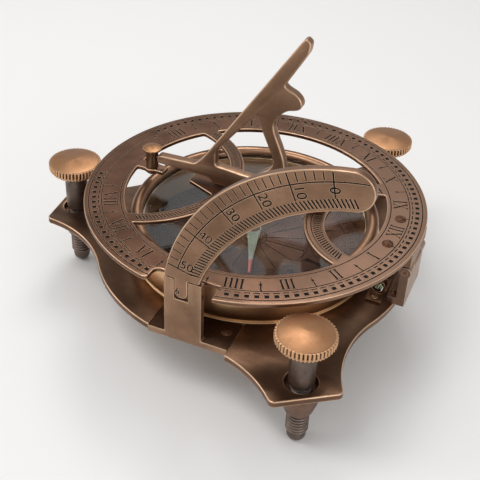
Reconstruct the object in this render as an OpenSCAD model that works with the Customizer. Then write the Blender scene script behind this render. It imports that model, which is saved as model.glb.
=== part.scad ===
// Inclining dial compass on three levelling screws, opened for use.
// +X points to the noon mark and the dial's hinge, +Z is up.
// The origin is the middle of the base plate's underside.

/* [Base plate] */
// Thickness of the cast base plate
plate_t = 2.4; // [1.5:0.1:4]
// How far the round middle of the plate lies inside the hour ring's edge
plate_inset = 3.3; // [0:0.1:3.6]
// How far an ear reaches past its levelling screw
ear_past = 7.3; // [6.8:0.1:14]
// Width of an ear where it is narrowest
ear_w = 22.8; // [16:0.2:28]
// Radius of the hollow flank beside an ear
flank_r = 40.2; // [30:0.2:60]
// Radius of the rounded corners of an ear
ear_corner_r = 2; // [0.5:0.1:4]
// Angle of the ears round from the noon line
ear_turn = 5; // [0:0.5:8]

/* [Levelling screws] */
// Gap between the hour ring and a knob
knob_gap = 1.1; // [1:0.1:3]
// Gap between a stem and the hole in its ear
stem_gap = 1.2; // [0.6:0.1:1.6]
// Radius of the plain stem
stem_r = 4.2; // [3.9:0.1:4.4]
// How far the stem's shoulder stands above the plate at rest
shoulder_lift = 0.4; // [0.3:0.1:1.5]
// Radius over the thread
thread_r = 3.7; // [2.8:0.1:3.8]
// Rise of the thread in one turn
thread_pitch = 1.25; // [1:0.05:1.5]
// Depth of the thread
thread_depth = 0.55; // [0.3:0.05:0.7]
// How far the tip stands below the plate at rest
foot_drop = 22.5; // [16:0.5:26]
// Height of the underside of the knob above the plate
knob_lift = 16; // [10:0.5:16.5]
// Radius of the milled knob
knob_r = 9.6; // [6:0.1:12]
// Height of the milled edge
knob_h = 3.8; // [2.5:0.1:5]
// Rise of the knob's low cone
knob_crown = 0.9; // [0.3:0.1:2]
// Number of milled grooves round a knob
knob_grooves = 46; // [24:2:60]
// Radius of one milled groove
groove_r = 0.34; // [0.2:0.02:0.5]
// Radius of the neck that the knob is set on
neck_r = 2.2; // [1.5:0.1:3]
// Height of a bush under an ear
bush_h = 8.8; // [5:0.2:12]
// Width of the bush's rim round the hole in the ear
bush_rim = 1; // [0.7:0.1:1.6]
// Wall of the bush at its foot
bush_wall = 0.95; // [0.5:0.05:1.6]

/* [Compass bowl] */
// Radius over the wall
bowl_r = 43.2; // [40:0.1:48]
// How far the foot flange stands out beyond the wall
bowl_foot_step = 1.8; // [1.2:0.1:3]
// Thickness of the foot flange
bowl_foot_t = 1.2; // [0.8:0.1:2]
// How far the waist above the foot lies inside the wall
waist_in = 2.6; // [1.6:0.1:3]
// Thickness of the wall below the glass
bowl_wall = 3.8; // [3.3:0.1:5]
// Width of the seat for the glass
seat_w = 1.8; // [1.2:0.1:2.6]
// Thickness of the floor
bowl_floor_t = 2.5; // [1.8:0.1:3]
// Height of the wall above the plate
bowl_h = 14; // [12:0.1:16]
// Depth of the glass seat below the top of the wall
seat_depth = 1.4; // [1.2:0.1:2]
// How far the rounded bezel stands out beyond the wall
bezel_over = 0.9; // [0.4:0.1:1.4]
// How far the bezel's lip covers the glass
bezel_lip = 1.5; // [0.8:0.1:2.5]
// Height of the bezel above the wall
bezel_h = 2.9; // [2:0.1:3.4]
// Thickness of the glass
glass_t = 1.4; // [1:0.1:2]
// Thickness of the gasket under the glass
gasket_t = 0.6; // [0.3:0.1:1]
// Width of the gasket
gasket_w = 1.2; // [0.8:0.1:1.6]
// Thickness of the compass card
card_t = 0.6; // [0.4:0.1:1]
// Radius from the middle to the screws under the bowl
bowl_screw_reach = 30; // [20:1:36]
// How far the turned register that seats the bowl in the plate stops short of those screws
register_in = 6; // [4.5:0.5:10]

/* [Needle] */
// Length from the pivot to the tip
needle_reach = 26; // [18:0.5:34]
// Width at the pivot
needle_w = 5.2; // [4:0.1:7]
// Thickness of the blade
needle_t = 0.5; // [0.3:0.1:0.8]
// Height of the blade above the card
needle_lift = 3.5; // [3:0.1:5]
// Direction of the red end from the noon mark
needle_turn = -71; // [-180:1:180]

/* [Hour ring] */
// How far the opening of the hour ring lies outside the bezel
open_gap = 1.9; // [1:0.1:4]
// Thickness of the ring
ring_t = 1.5; // [1:0.1:2]
// Gap between the bezel and the ring's underside
ring_gap = 4.2; // [3:0.1:6]
// Centre of the south crescent from the middle, as a share of the opening's radius
south_centre_share = 0.98; // [0.9:0.005:1.05]
// Outer radius of the south crescent, as a share of the opening's radius
south_share = 0.809; // [0.74:0.001:0.85]
// Width of the south crescent
south_w = 5.1; // [3.5:0.1:6]
// Centre of the north crescent from the middle, as a share of the opening's radius
north_centre_share = 1.037; // [0.98:0.001:1.09]
// Outer radius of the north crescent, as a share of the opening's radius
north_share = 0.606; // [0.54:0.001:0.65]
// Width of the north crescent
north_w = 6.9; // [5:0.1:8]
// Length of the pointed spur on the south crescent
spur_l = 12; // [8:0.5:16]
// Width of the spur at its root in the crescent
spur_w = 16.2; // [10:0.2:18]
// Width of the spur at its end
spur_end_w = 5; // [3:0.2:6]
// Width of the tongue that carries the south post
tongue_w = 4.4; // [4:0.1:6]
// How far the tongue reaches past the post
tongue_past = 5.4; // [2.6:0.1:7]
// Width of the pad round a gnomon post
post_pad = 0.7; // [0.3:0.1:1.2]
// Room in the ring's notch on the south side of the bracket
notch_south_gap = 4.4; // [3:0.1:6]
// Room in the ring's notch on the north side of the bracket
notch_north_gap = 5.1; // [3.5:0.1:7]

/* [Dial hinge] */
// How far the hinge pin lies inside the hour ring's edge
hinge_inset = 2.1; // [1.8:0.1:2.4]
// How far the hinge pin lies below the hour ring
hinge_drop = 7.1; // [6:0.1:9]
// Gap between the level and the upright's foot
upright_gap = 1.35; // [0.8:0.05:3]
// Thickness of the upright and of the lug
upright_t = 3.1; // [2.6:0.1:3.4]
// Width of the upright
upright_w = 19.2; // [14:0.2:24]
// Reach of the upright's foot flange towards the middle
upright_foot = 2.9; // [2.7:0.1:3.4]
// Thickness of the foot flange
upright_foot_t = 2.7; // [2:0.1:3.5]
// Radius of the hinge knuckles
knuckle_r = 2.1; // [1.8:0.1:2.3]
// Radius of the hinge pin
hinge_pin_r = 0.9; // [0.6:0.05:1.1]
// Width of the middle knuckle
knuckle_w = 9.2; // [6:0.2:11]
// Reach of the lug's flange under the ring
lug_reach = 12; // [11:0.1:12.5]
// Thickness of the lug's flange
lug_t = 1.6; // [1.2:0.1:2.2]
// Distance of the dial screws from the hinge pin
dial_screw_in = 7.5; // [5:0.1:8]

/* [Latitude arc] */
// How far the front of the arc and its bracket lies inside the hour ring's edge
arc_inset = 4.5; // [3.5:0.1:4.7]
// Thickness of the arc and the bracket's strip
arc_t = 2.6; // [2:0.1:2.7]
// Centre of the outer edge, south of the hinge pin
arc_out_in = 3.4; // [2.8:0.1:4.2]
// Centre of the outer edge, below the top of the hour ring
arc_out_drop = 9; // [8:0.1:10]
// Radius of the outer edge
arc_out_r = 63; // [62:0.1:63.5]
// Centre of the inner edge, north of the hinge pin
arc_in_past = 4.6; // [4:0.1:5]
// Centre of the inner edge, below the top of the hour ring
arc_in_drop = 17.9; // [17:0.1:19]
// How much smaller the inner edge's radius is
arc_in_less = 2; // [1:0.1:3]
// Place of the rounded end, south of the hinge pin
arc_end_in = 9.5; // [8:0.1:14]
// Width of the tang
tang_w = 4.5; // [3.5:0.1:5]
// Distance of the tang from the bracket's south edge
tang_in = 6; // [5.4:0.1:6.8]
// Depth of the fold pin below the arc's shoulder
fold_depth = 5.2; // [5:0.1:6]
// Radius of the fold pin
fold_pin_r = 0.75; // [0.5:0.05:0.9]
// Gap between the arc's shoulder and the bracket
shoulder_gap = 0.45; // [0.4:0.05:0.8]

/* [Arc bracket] */
// How far the bracket's strip reaches south of the arc's outer edge
strip_lap = 0.6; // [-0.4:0.1:1.2]
// Width of the bracket's strip
strip_w = 13; // [11.5:0.1:13.4]
// How far the bracket's foot reaches south of the strip
foot_past = 6.1; // [4:0.1:8]
// Width of the bracket's foot
foot_w = 28.5; // [24:0.1:30]
// Depth of the foot from its front edge to the lap
foot_d = 5; // [4:0.1:6]
// How far the foot's lap reaches under the flange of the bowl
lap_under = 3.5; // [2:0.1:6]

/* [Gnomon] */
// Thickness of the gnomon
gnomon_t = 3.4; // [2.4:0.1:3.6]
// Height of the fold axis above the ring
gnomon_axis = 4.5; // [4.2:0.1:5.2]
// Gap between the gnomon's foot and the ring
gnomon_gap = 0.7; // [0.5:0.1:1]
// How far the south post stands inside the ring's opening
post_in = 4.9; // [4:0.1:7]
// Height of the gnomon's arm
arm_h = 3.2; // [2.6:0.1:4]
// Height of the gnomon's bar above its fold axis
bar_above = 2.4; // [2:0.1:3.4]
// Radius of both posts
post_r = 2.2; // [1.8:0.1:2.4]
// Radius of the disc on the south post
disc_r = 3.4; // [2.8:0.1:3.8]
// Thickness of the disc
disc_t = 1.1; // [0.8:0.1:1.8]
// Radius of the gnomon's pins
gnomon_pin_r = 0.8; // [0.5:0.05:1]
// Height of the style's tip above the ring
style_rise = 62; // [50:0.5:70]

/* [Spirit level] */
// Gap between the bowl's foot and the level
level_gap = 1.5; // [0.8:0.1:3]
// Radius of the glass vial
vial_r = 2; // [1.5:0.1:2.2]
// Length of the vial
vial_l = 15; // [10:0.5:18]
// Width of the level's cradle
cradle_w = 5.6; // [5:0.1:6]

/* [Fits] */
// Radial clearance of a turning pin
run_fit = 0.05; // [0.02:0.01:0.1]
// Clearance between a part and its seat
seat_fit = 0.1; // [0.05:0.01:0.2]
// Clearance between pieces that pass each other
pass_gap = 0.5; // [0.4:0.05:0.8]

/* [Hidden] */
$fn = 96;

// Radii that follow from the bowl, from the inside out
bowl_foot_r = bowl_r + bowl_foot_step;
register_r = bowl_screw_reach - register_in;
bowl_inner_r = bowl_r - bowl_wall;
bowl_seat_r = bowl_inner_r + seat_w;
bezel_r = bowl_r + bezel_over;
bezel_open_r = bowl_seat_r - bezel_lip;
ring_open_r = bezel_r + open_gap;
level_x = bowl_foot_r + level_gap + cradle_w / 2;
hinge_x = level_x + cradle_w / 2 + upright_gap + upright_foot + upright_t / 2;
ring_r = hinge_x + hinge_inset;
screw_reach = ring_r + knob_r + knob_gap;
ear_reach = screw_reach + ear_past;
plate_r = ring_r - plate_inset;

// Crescents and posts inside the hour ring
south_centre = ring_open_r * south_centre_share;
south_r = ring_open_r * south_share;
north_centre = ring_open_r * north_centre_share;
north_r = ring_open_r * north_share;
south_post = ring_open_r - post_in;
north_post = north_centre - north_r + north_w / 2;

// Fasteners and holes that follow from their neighbours
ear_hole_r = stem_r + stem_gap;
bush_top_r = ear_hole_r + bush_rim;
bush_foot_r = thread_r + run_fit + bush_wall;
dial_screw_reach = hinge_x - dial_screw_in;
dial_screw_side = upright_w * 0.41;
neck_h = knob_h - 0.7;

// Angles of the three ears, seen from above and counted from the noon mark
near_turn = -60 + ear_turn;
south_turn = 180 + ear_turn;
far_turn = 60 + ear_turn;

// Heights that several pieces share
plate_top = plate_t;
bowl_floor = plate_top + bowl_floor_t;
card_top = bowl_floor + card_t;
bowl_top = plate_top + bowl_h;
seat_z = bowl_top - seat_depth;
glass_z = seat_z + gasket_t;
bezel_top = bowl_top + bezel_h;
needle_z = card_top + needle_lift;
ring_low = bezel_top + ring_gap;
ring_top = ring_low + ring_t;
hinge_z = ring_low - hinge_drop;
knob_low = plate_top + knob_lift;
stem_shoulder = plate_top + shoulder_lift;

// Arc and bracket, in the plane of the arc
arc_face = ring_r - arc_inset;
arc_out_x = hinge_x - arc_out_in;
arc_in_x = hinge_x + arc_in_past;
arc_end_x = hinge_x - arc_end_in;
strip_south = arc_out_x - arc_out_r + strip_lap;
tang_x = strip_south + tang_in;
foot_south = strip_south - foot_past;
notch_south = strip_south - notch_south_gap;
notch_north = strip_south + strip_w + notch_north_gap;
arc_back = arc_face - arc_t;
arc_out_h = ring_top - arc_out_drop;
arc_in_h = ring_top - arc_in_drop;
arc_in_r = arc_out_r - arc_in_less;
shoulder_z = ring_top + 0.4;
strip_top = shoulder_z - shoulder_gap;
fold_z = shoulder_z - fold_depth;
fold_y = -(arc_face - arc_t / 2);
tang_clear = norm([tang_w / 2, arc_t / 2]) + pass_gap;
slot_w = tang_w + 2 * seat_fit + 0.1;
notch_y = arc_back - pass_gap;
lap_d = arc_face - foot_d - bowl_foot_r + lap_under;

// Gnomon
axis_z = ring_top + gnomon_axis;
gnomon_low = ring_top + gnomon_gap;
arm_half = arm_h / 2;
gnomon_south_end = -(south_post - post_r - pass_gap);
gnomon_north_end = north_post - post_r - pass_gap;
disc_z = axis_z + norm([arm_half, gnomon_t / 2]) + 0.6 * pass_gap;
bar_top = axis_z + bar_above;

// Small fasteners
rivet_r = 1;
rivet_head_r = 1.9;
rivet_head_h = 0.7;
small_rivet_r = 0.7;
small_rivet_head_r = 1.2;
small_rivet_head_h = 0.6;
dial_screw_r = 1;
dial_screw_head_r = 1.9;
dial_screw_head_h = 0.8;
screw_slot_w = 0.5;
bowl_screw_r = 1.2;
bowl_screw_head_r = 2.3;
bowl_screw_sink = 1.2;

// One corner of an ear is rounded by a circle that touches the end and the flank
flank_y = ear_w / 2 + flank_r;
flank_x = sqrt(pow(plate_r + flank_r, 2) - flank_y * flank_y);
corner_x = ear_reach - ear_corner_r;
corner_y = flank_y - sqrt(pow(flank_r + ear_corner_r, 2) - pow(flank_x - corner_x, 2));
flank_end = 360 + atan2(corner_y - flank_y, corner_x - flank_x);
flank_start = 180 + atan2(flank_y, flank_x);
bulge_start = flank_start - 180;

function rot2(p, a) = [p[0] * cos(a) - p[1] * sin(a), p[0] * sin(a) + p[1] * cos(a)];
function arc_points(c, r, a0, a1, n) = [for (i = [0:n]) c + r * [cos(a0 + (a1 - a0) * i / n), sin(a0 + (a1 - a0) * i / n)]];

module at_ear(turn) {
  translate([screw_reach * cos(turn), screw_reach * sin(turn), 0]) rotate([0, 0, turn]) children();
}

// A flat outline drawn in X and Z, given a thickness towards the back from the face at y
module upright_sheet(y_face, t) {
  translate([0, y_face + t, 0]) rotate([90, 0, 0]) linear_extrude(height = t) children();
}

// Half the outline of an ear, from the middle of its end round to the plate's round middle
ear_half = concat(
  arc_points([corner_x, corner_y], ear_corner_r, 0, flank_end - 180, 6),
  arc_points([flank_x, flank_y], flank_r, flank_end, flank_start, 16)
);
ear_other_half = [for (i = [len(ear_half) - 1:-1:0]) [ear_half[i][0], -ear_half[i][1]]];
bulge_steps = 20;
third_of_plate = concat(ear_other_half, ear_half, [for (i = [1:bulge_steps - 1])
  let (a = bulge_start + (120 - 2 * bulge_start) * i / bulge_steps) plate_r * [cos(a), sin(a)]]);

module plate_outline() {
  polygon([for (turn = [near_turn, far_turn, south_turn]) for (p = third_of_plate) rot2(p, turn)]);
}

module bowl_screw_spots() {
  for (a = [30, 150, 270]) rotate([0, 0, a]) translate([bowl_screw_reach, 0, 0]) children();
}

module lap_rivet_spots() {
  y = bowl_foot_r + rivet_head_r + 0.4;
  for (x = [foot_south + 2 * rivet_head_r, foot_south + foot_w - 2 * rivet_head_r]) translate([x, -y, 0]) children();
}

module upright_rivet_spots() {
  for (s = [-1, 1]) translate([hinge_x - upright_t / 2 - upright_foot / 2, s * upright_w / 3, 0]) children();
}

module level_screw_spots() {
  for (s = [-1, 1]) translate([level_x, s * (vial_l / 2 + 2.9), 0]) children();
}

module base_plate() {
  lap_z = plate_t / 2;
  color([0.47, 0.33, 0.27]) difference() {
    linear_extrude(height = plate_t) difference() {
      plate_outline();
      for (turn = [near_turn, south_turn, far_turn])
        rotate(turn) translate([screw_reach, 0]) circle(r = ear_hole_r);
      circle(r = register_r + seat_fit, $fn = 180);
      translate([foot_south - seat_fit, -arc_face - foot_d])
        square([foot_w + 2 * seat_fit, 2 * foot_d + seat_fit]);
    }
    translate([foot_south - seat_fit, -arc_face, lap_z])
      cube([foot_w + 2 * seat_fit, foot_d + lap_d + seat_fit, plate_t]);
    lap_rivet_spots() translate([0, 0, -1]) cylinder(r = rivet_r + seat_fit / 2, h = plate_t + 2);
    upright_rivet_spots() translate([0, 0, -1]) cylinder(r = small_rivet_r + seat_fit / 2, h = plate_t + 2);
    level_screw_spots() translate([0, 0, -1]) cylinder(r = small_rivet_r + seat_fit / 2, h = plate_t + 2);
    bowl_screw_spots() {
      translate([0, 0, -1]) cylinder(r = bowl_screw_r + seat_fit / 2, h = plate_t + 2);
      translate([0, 0, -0.01]) cylinder(r1 = bowl_screw_head_r + seat_fit, r2 = bowl_screw_r + seat_fit / 2,
        h = bowl_screw_sink + 0.01);
    }
  }
}

module bush(turn) {
  color([0.40, 0.30, 0.26]) at_ear(turn) difference() {
    rotate_extrude() polygon([
      [thread_r + run_fit, 0], [bush_top_r, 0], [bush_top_r, -0.8],
      [(bush_top_r + bush_foot_r) / 2 + 0.35, -bush_h * 0.55], [bush_foot_r, -bush_h], [thread_r + run_fit, -bush_h]
    ]);
  }
}

module near_bush() { bush(near_turn); }
module south_bush() { bush(south_turn); }
module far_bush() { bush(far_turn); }

module compass_bowl() {
  belly_z = plate_top + bowl_h * 0.55;
  waist_r = bowl_r - waist_in;
  waist_z = plate_top + bowl_foot_t + 1.2;
  belly = [for (i = [0:8]) [waist_r + (bowl_r - waist_r) * sin(90 * i / 8), belly_z - (belly_z - waist_z) * cos(90 * i / 8)]];
  color([0.66, 0.44, 0.30]) difference() {
    rotate_extrude($fn = 180) polygon(concat(
      [[0, 0], [register_r, 0], [register_r, plate_top], [bowl_foot_r, plate_top],
       [bowl_foot_r, plate_top + bowl_foot_t], [waist_r, plate_top + bowl_foot_t]],
      belly,
      [[bowl_r, bowl_top], [bowl_seat_r, bowl_top], [bowl_seat_r, seat_z], [bowl_inner_r, seat_z],
       [bowl_inner_r, bowl_floor], [0, bowl_floor]]
    ));
    bowl_screw_spots() translate([0, 0, plate_top - 1]) cylinder(r = bowl_screw_r + seat_fit / 2, h = bowl_floor_t + 0.6);
  }
}

module bowl_screws() {
  color([0.50, 0.40, 0.32]) bowl_screw_spots() {
    difference() {
      translate([0, 0, 0]) cylinder(r1 = bowl_screw_head_r, r2 = bowl_screw_r, h = bowl_screw_sink);
      translate([-bowl_screw_head_r - 1, -screw_slot_w / 2, -0.1])
        cube([2 * bowl_screw_head_r + 2, screw_slot_w, 0.6]);
    }
    translate([0, 0, bowl_screw_sink]) cylinder(r = bowl_screw_r, h = plate_t + bowl_floor_t - 0.6 - bowl_screw_sink);
  }
}

module compass_card() {
  color([0.47, 0.35, 0.30]) translate([0, 0, bowl_floor]) cylinder(r = bowl_inner_r - 2 * seat_fit, h = card_t, $fn = 180);
}

module needle_pivot() {
  tip_z = needle_z + 0.75;
  color([0.62, 0.50, 0.36]) rotate_extrude() polygon([
    [0, card_top], [3, card_top], [3, card_top + 0.8], [0.8, card_top + 1.1],
    [0.8, tip_z - 1.5], [0.1, tip_z], [0, tip_z]
  ]);
}

module glass_gasket() {
  color([0.16, 0.14, 0.13]) translate([0, 0, seat_z]) difference() {
    cylinder(r = bowl_seat_r - seat_fit, h = gasket_t, $fn = 180);
    translate([0, 0, -1]) cylinder(r = bowl_seat_r - seat_fit - gasket_w, h = gasket_t + 2, $fn = 180);
  }
}

module bowl_glass() {
  color([0.80, 0.86, 0.86, 0.35]) translate([0, 0, glass_z]) cylinder(r = bowl_seat_r - 2 * seat_fit, h = glass_t, $fn = 180);
}

module bowl_bezel() {
  lip_z = glass_z + glass_t;
  mid_r = (bezel_r + bezel_open_r) / 2;
  half_w = (bezel_r - bezel_open_r) / 2;
  shoulder = lip_z + 0.5;
  crown = [for (i = [0:12]) [mid_r + half_w * cos(180 * i / 12), shoulder + (bezel_top - shoulder) * sin(180 * i / 12)]];
  color([0.70, 0.48, 0.33]) rotate_extrude($fn = 180) polygon(concat(
    [[bowl_seat_r, bowl_top], [bezel_r, bowl_top]],
    crown,
    [[bezel_open_r, lip_z], [bowl_seat_r, lip_z]]
  ));
}

module needle() {
  shoulder = needle_reach * 0.62;
  color([0.80, 0.82, 0.74]) rotate([0, 0, needle_turn]) translate([0, 0, needle_z])
    linear_extrude(height = needle_t) difference() {
      polygon([
        [-needle_reach, 0], [0, -needle_w / 2], [shoulder, -needle_w / 6], [needle_reach, -0.4],
        [needle_reach, 0.4], [shoulder, needle_w / 6], [0, needle_w / 2]
      ]);
      circle(r = 1.3);
    }
}

module needle_cap() {
  recess_z = needle_z + 0.9;
  color([0.72, 0.58, 0.38]) rotate_extrude() polygon([
    [1, needle_z - 0.6], [1.25, needle_z - 0.6], [1.25, needle_z + needle_t], [2.2, needle_z + needle_t],
    [1.7, needle_z + needle_t + 1.1], [0, needle_z + needle_t + 1.4], [0, recess_z], [0.15, recess_z]
  ]);
}

module arc_bracket() {
  lap_z = plate_t / 2 + seat_fit / 2;
  color([0.58, 0.41, 0.32]) difference() {
    union() {
      translate([foot_south, -arc_face, 0]) cube([foot_w, foot_d, plate_t]);
      translate([foot_south, -arc_face + foot_d - 1, lap_z]) cube([foot_w, lap_d + 1, plate_t - lap_z]);
      translate([strip_south, -arc_face, plate_t - 1]) cube([strip_w, arc_t, strip_top - plate_t + 1]);
    }
    translate([tang_x - slot_w / 2, -arc_face - 1, fold_z - tang_clear])
      cube([slot_w, arc_t + 2, strip_top - fold_z + tang_clear + 1]);
    translate([strip_south - 1, fold_y, fold_z]) rotate([0, 90, 0]) cylinder(r = fold_pin_r + run_fit / 2, h = strip_w + 2);
    lap_rivet_spots() translate([0, 0, -1]) cylinder(r = rivet_r + seat_fit / 2, h = plate_t + 2);
  }
}

module bracket_rivets() {
  color([0.62, 0.46, 0.34]) lap_rivet_spots() {
    cylinder(r = rivet_r, h = plate_t);
    translate([0, 0, plate_t]) intersection() {
      cylinder(r = rivet_head_r, h = rivet_head_h);
      translate([0, 0, rivet_head_h - 3.2]) sphere(r = 3.2, $fn = 64);
    }
  }
}

module arc_pin() {
  color([0.62, 0.46, 0.34]) translate([strip_south, fold_y, fold_z]) rotate([0, 90, 0]) cylinder(r = fold_pin_r, h = strip_w);
}

module latitude_arc() {
  end_out = arc_out_h + sqrt(pow(arc_out_r, 2) - pow(arc_end_x - arc_out_x, 2));
  end_in = arc_in_h + sqrt(pow(arc_in_r, 2) - pow(arc_end_x - arc_in_x, 2));
  color([0.60, 0.43, 0.33]) difference() {
    upright_sheet(-arc_face, arc_t) union() {
      difference() {
        intersection() {
          translate([arc_out_x, arc_out_h]) circle(r = arc_out_r, $fn = 240);
          translate([-2 * arc_out_r, shoulder_z]) square([2 * arc_out_r + arc_end_x, 2 * arc_out_r]);
        }
        translate([arc_in_x, arc_in_h]) circle(r = arc_in_r, $fn = 240);
      }
      translate([arc_end_x, (end_out + end_in) / 2]) circle(r = (end_out - end_in) / 2);
      translate([tang_x - tang_w / 2, fold_z]) square([tang_w, fold_depth + 1]);
      translate([tang_x, fold_z]) circle(r = tang_w / 2);
    }
    translate([strip_south - 1, fold_y, fold_z]) rotate([0, 90, 0]) cylinder(r = fold_pin_r + run_fit, h = strip_w + 2);
  }
}

module hinge_upright() {
  low_z = plate_top;
  cheek_z = hinge_z - knuckle_r - pass_gap;
  inner_x = hinge_x - upright_t / 2;
  color([0.52, 0.38, 0.31]) difference() {
    union() {
      translate([inner_x, -upright_w / 2, low_z]) cube([upright_t, upright_w, cheek_z - low_z]);
      translate([inner_x - upright_foot, -upright_w / 2, low_z]) cube([upright_foot + 1, upright_w, upright_foot_t]);
      for (s = [-1, 1]) {
        cheek_w = (upright_w - knuckle_w) / 2 - seat_fit * 2;
        translate([inner_x, s > 0 ? upright_w / 2 - cheek_w : -upright_w / 2, cheek_z - 1])
          cube([upright_t, cheek_w, hinge_z - cheek_z + 1]);
        translate([hinge_x, s > 0 ? upright_w / 2 : -upright_w / 2 + cheek_w, hinge_z])
          rotate([90, 0, 0]) cylinder(r = knuckle_r, h = cheek_w);
      }
    }
    translate([hinge_x, upright_w / 2 + 1, hinge_z]) rotate([90, 0, 0])
      cylinder(r = hinge_pin_r + run_fit / 2, h = upright_w + 2);
    upright_rivet_spots() translate([0, 0, low_z - 1]) cylinder(r = small_rivet_r + seat_fit / 2, h = upright_foot_t + 2);
  }
}

module upright_rivets() {
  color([0.62, 0.46, 0.34]) upright_rivet_spots() {
    cylinder(r = small_rivet_r, h = plate_top + upright_foot_t);
    translate([0, 0, plate_top + upright_foot_t]) intersection() {
      cylinder(r = small_rivet_head_r, h = small_rivet_head_h);
      translate([0, 0, small_rivet_head_h - 1.6]) sphere(r = 1.6, $fn = 64);
    }
  }
}

module hinge_pin() {
  color([0.62, 0.50, 0.38]) translate([hinge_x, upright_w / 2, hinge_z]) rotate([90, 0, 0])
    cylinder(r = hinge_pin_r, h = upright_w);
}

module hinge_lug() {
  inner_x = hinge_x - upright_t / 2;
  web_z = hinge_z + knuckle_r + pass_gap;
  color([0.54, 0.39, 0.31]) difference() {
    union() {
      translate([inner_x - lug_reach + upright_t, -upright_w / 2, ring_low - lug_t]) cube([lug_reach, upright_w, lug_t]);
      translate([inner_x, -upright_w / 2, web_z]) cube([upright_t, upright_w, ring_low - web_z]);
      translate([inner_x, -knuckle_w / 2 + seat_fit, hinge_z]) cube([upright_t, knuckle_w - 2 * seat_fit, web_z - hinge_z + 1]);
      translate([hinge_x, knuckle_w / 2 - seat_fit, hinge_z]) rotate([90, 0, 0])
        cylinder(r = knuckle_r, h = knuckle_w - 2 * seat_fit);
    }
    translate([hinge_x, upright_w / 2 + 1, hinge_z]) rotate([90, 0, 0])
      cylinder(r = hinge_pin_r + run_fit, h = upright_w + 2);
    for (s = [-1, 1]) translate([dial_screw_reach, s * dial_screw_side, ring_low - lug_t - 1])
      cylinder(r = dial_screw_r + seat_fit / 2, h = lug_t + 2);
  }
}

module level_cradle() {
  foot_t = 1;
  axis = plate_top + foot_t + vial_r + 0.7;
  color([0.60, 0.46, 0.33]) difference() {
    union() {
      translate([level_x - cradle_w / 2, -vial_l / 2 - 4.4, plate_top]) cube([cradle_w, vial_l + 8.8, foot_t]);
      for (s = [-1, 1]) {
        translate([level_x, s > 0 ? vial_l / 2 : -vial_l / 2 + 2.4, axis]) rotate([90, 0, 0]) cylinder(r = vial_r + 0.7, h = 2.4);
        translate([level_x - vial_r, s > 0 ? vial_l / 2 - 2.4 : -vial_l / 2, plate_top]) cube([2 * vial_r, 2.4, axis - plate_top]);
      }
    }
    translate([level_x, vial_l / 2 + 1, axis]) rotate([90, 0, 0]) cylinder(r = vial_r + run_fit, h = vial_l + 2);
    level_screw_spots() translate([0, 0, plate_top - 1]) cylinder(r = small_rivet_r + seat_fit / 2, h = foot_t + 2);
  }
}

module level_screws() {
  color([0.62, 0.50, 0.38]) level_screw_spots() {
    cylinder(r = small_rivet_r, h = plate_top + 1);
    translate([0, 0, plate_top + 1]) difference() {
      cylinder(r = small_rivet_head_r, h = small_rivet_head_h);
      translate([-small_rivet_head_r - 1, -screw_slot_w / 2, small_rivet_head_h - 0.3])
        cube([2 * small_rivet_head_r + 2, screw_slot_w, 1]);
    }
  }
}

module level_vial() {
  axis = plate_top + 1 + vial_r + 0.7;
  color([0.82, 0.90, 0.84, 0.35]) translate([level_x, vial_l / 2, axis]) rotate([90, 0, 0]) difference() {
    cylinder(r = vial_r, h = vial_l);
    translate([0, 0, 0.8]) cylinder(r = vial_r - 0.5, h = vial_l - 1.6);
  }
}

module level_spirit() {
  axis = plate_top + 1 + vial_r + 0.7;
  bubble_l = 3.4;
  color([0.78, 0.86, 0.50, 0.5]) difference() {
    translate([level_x, vial_l / 2 - 0.8 - run_fit, axis]) rotate([90, 0, 0])
      cylinder(r = vial_r - 0.5 - run_fit, h = vial_l - 1.6 - 2 * run_fit);
    translate([level_x - vial_r, -bubble_l / 2, axis + 0.75]) cube([2 * vial_r, bubble_l, vial_r]);
  }
}

module hour_ring() {
  spur_south = south_centre - south_r + south_w;
  spur_root = spur_south - south_w / 2;
  color([0.56, 0.41, 0.34]) difference() {
    translate([0, 0, ring_low]) linear_extrude(height = ring_t) difference() {
      union() {
        difference() {
          circle(r = ring_r, $fn = 240);
          circle(r = ring_open_r, $fn = 240);
        }
        intersection() {
          circle(r = ring_open_r + 1, $fn = 240);
          union() {
            difference() {
              translate([-south_centre, 0]) circle(r = south_r, $fn = 180);
              difference() {
                translate([-south_centre, 0]) circle(r = south_r - south_w, $fn = 180);
                polygon([
                  [-spur_root, -spur_w / 2], [-spur_south - spur_l, -spur_end_w / 2],
                  [-spur_south - spur_l, spur_end_w / 2], [-spur_root, spur_w / 2]
                ]);
              }
            }
            difference() {
              translate([north_centre, 0]) circle(r = north_r, $fn = 180);
              translate([north_centre, 0]) circle(r = north_r - north_w, $fn = 180);
            }
          }
        }
        translate([-ring_open_r - 1, -tongue_w / 2])
          square([ring_open_r + 1 - south_post + tongue_past, tongue_w]);
        translate([-south_post, 0]) circle(r = post_r + post_pad);
      }
      translate([notch_south, -ring_r - 1]) square([notch_north - notch_south, ring_r + 1 - notch_y]);
      for (s = [-1, 1]) translate([dial_screw_reach, s * dial_screw_side]) circle(r = dial_screw_r + seat_fit / 2);
      translate([-south_post, 0]) circle(r = 1.5 + seat_fit / 2);
      translate([north_post, 0]) circle(r = 1.5 + seat_fit / 2);
    }
  }
}

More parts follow.
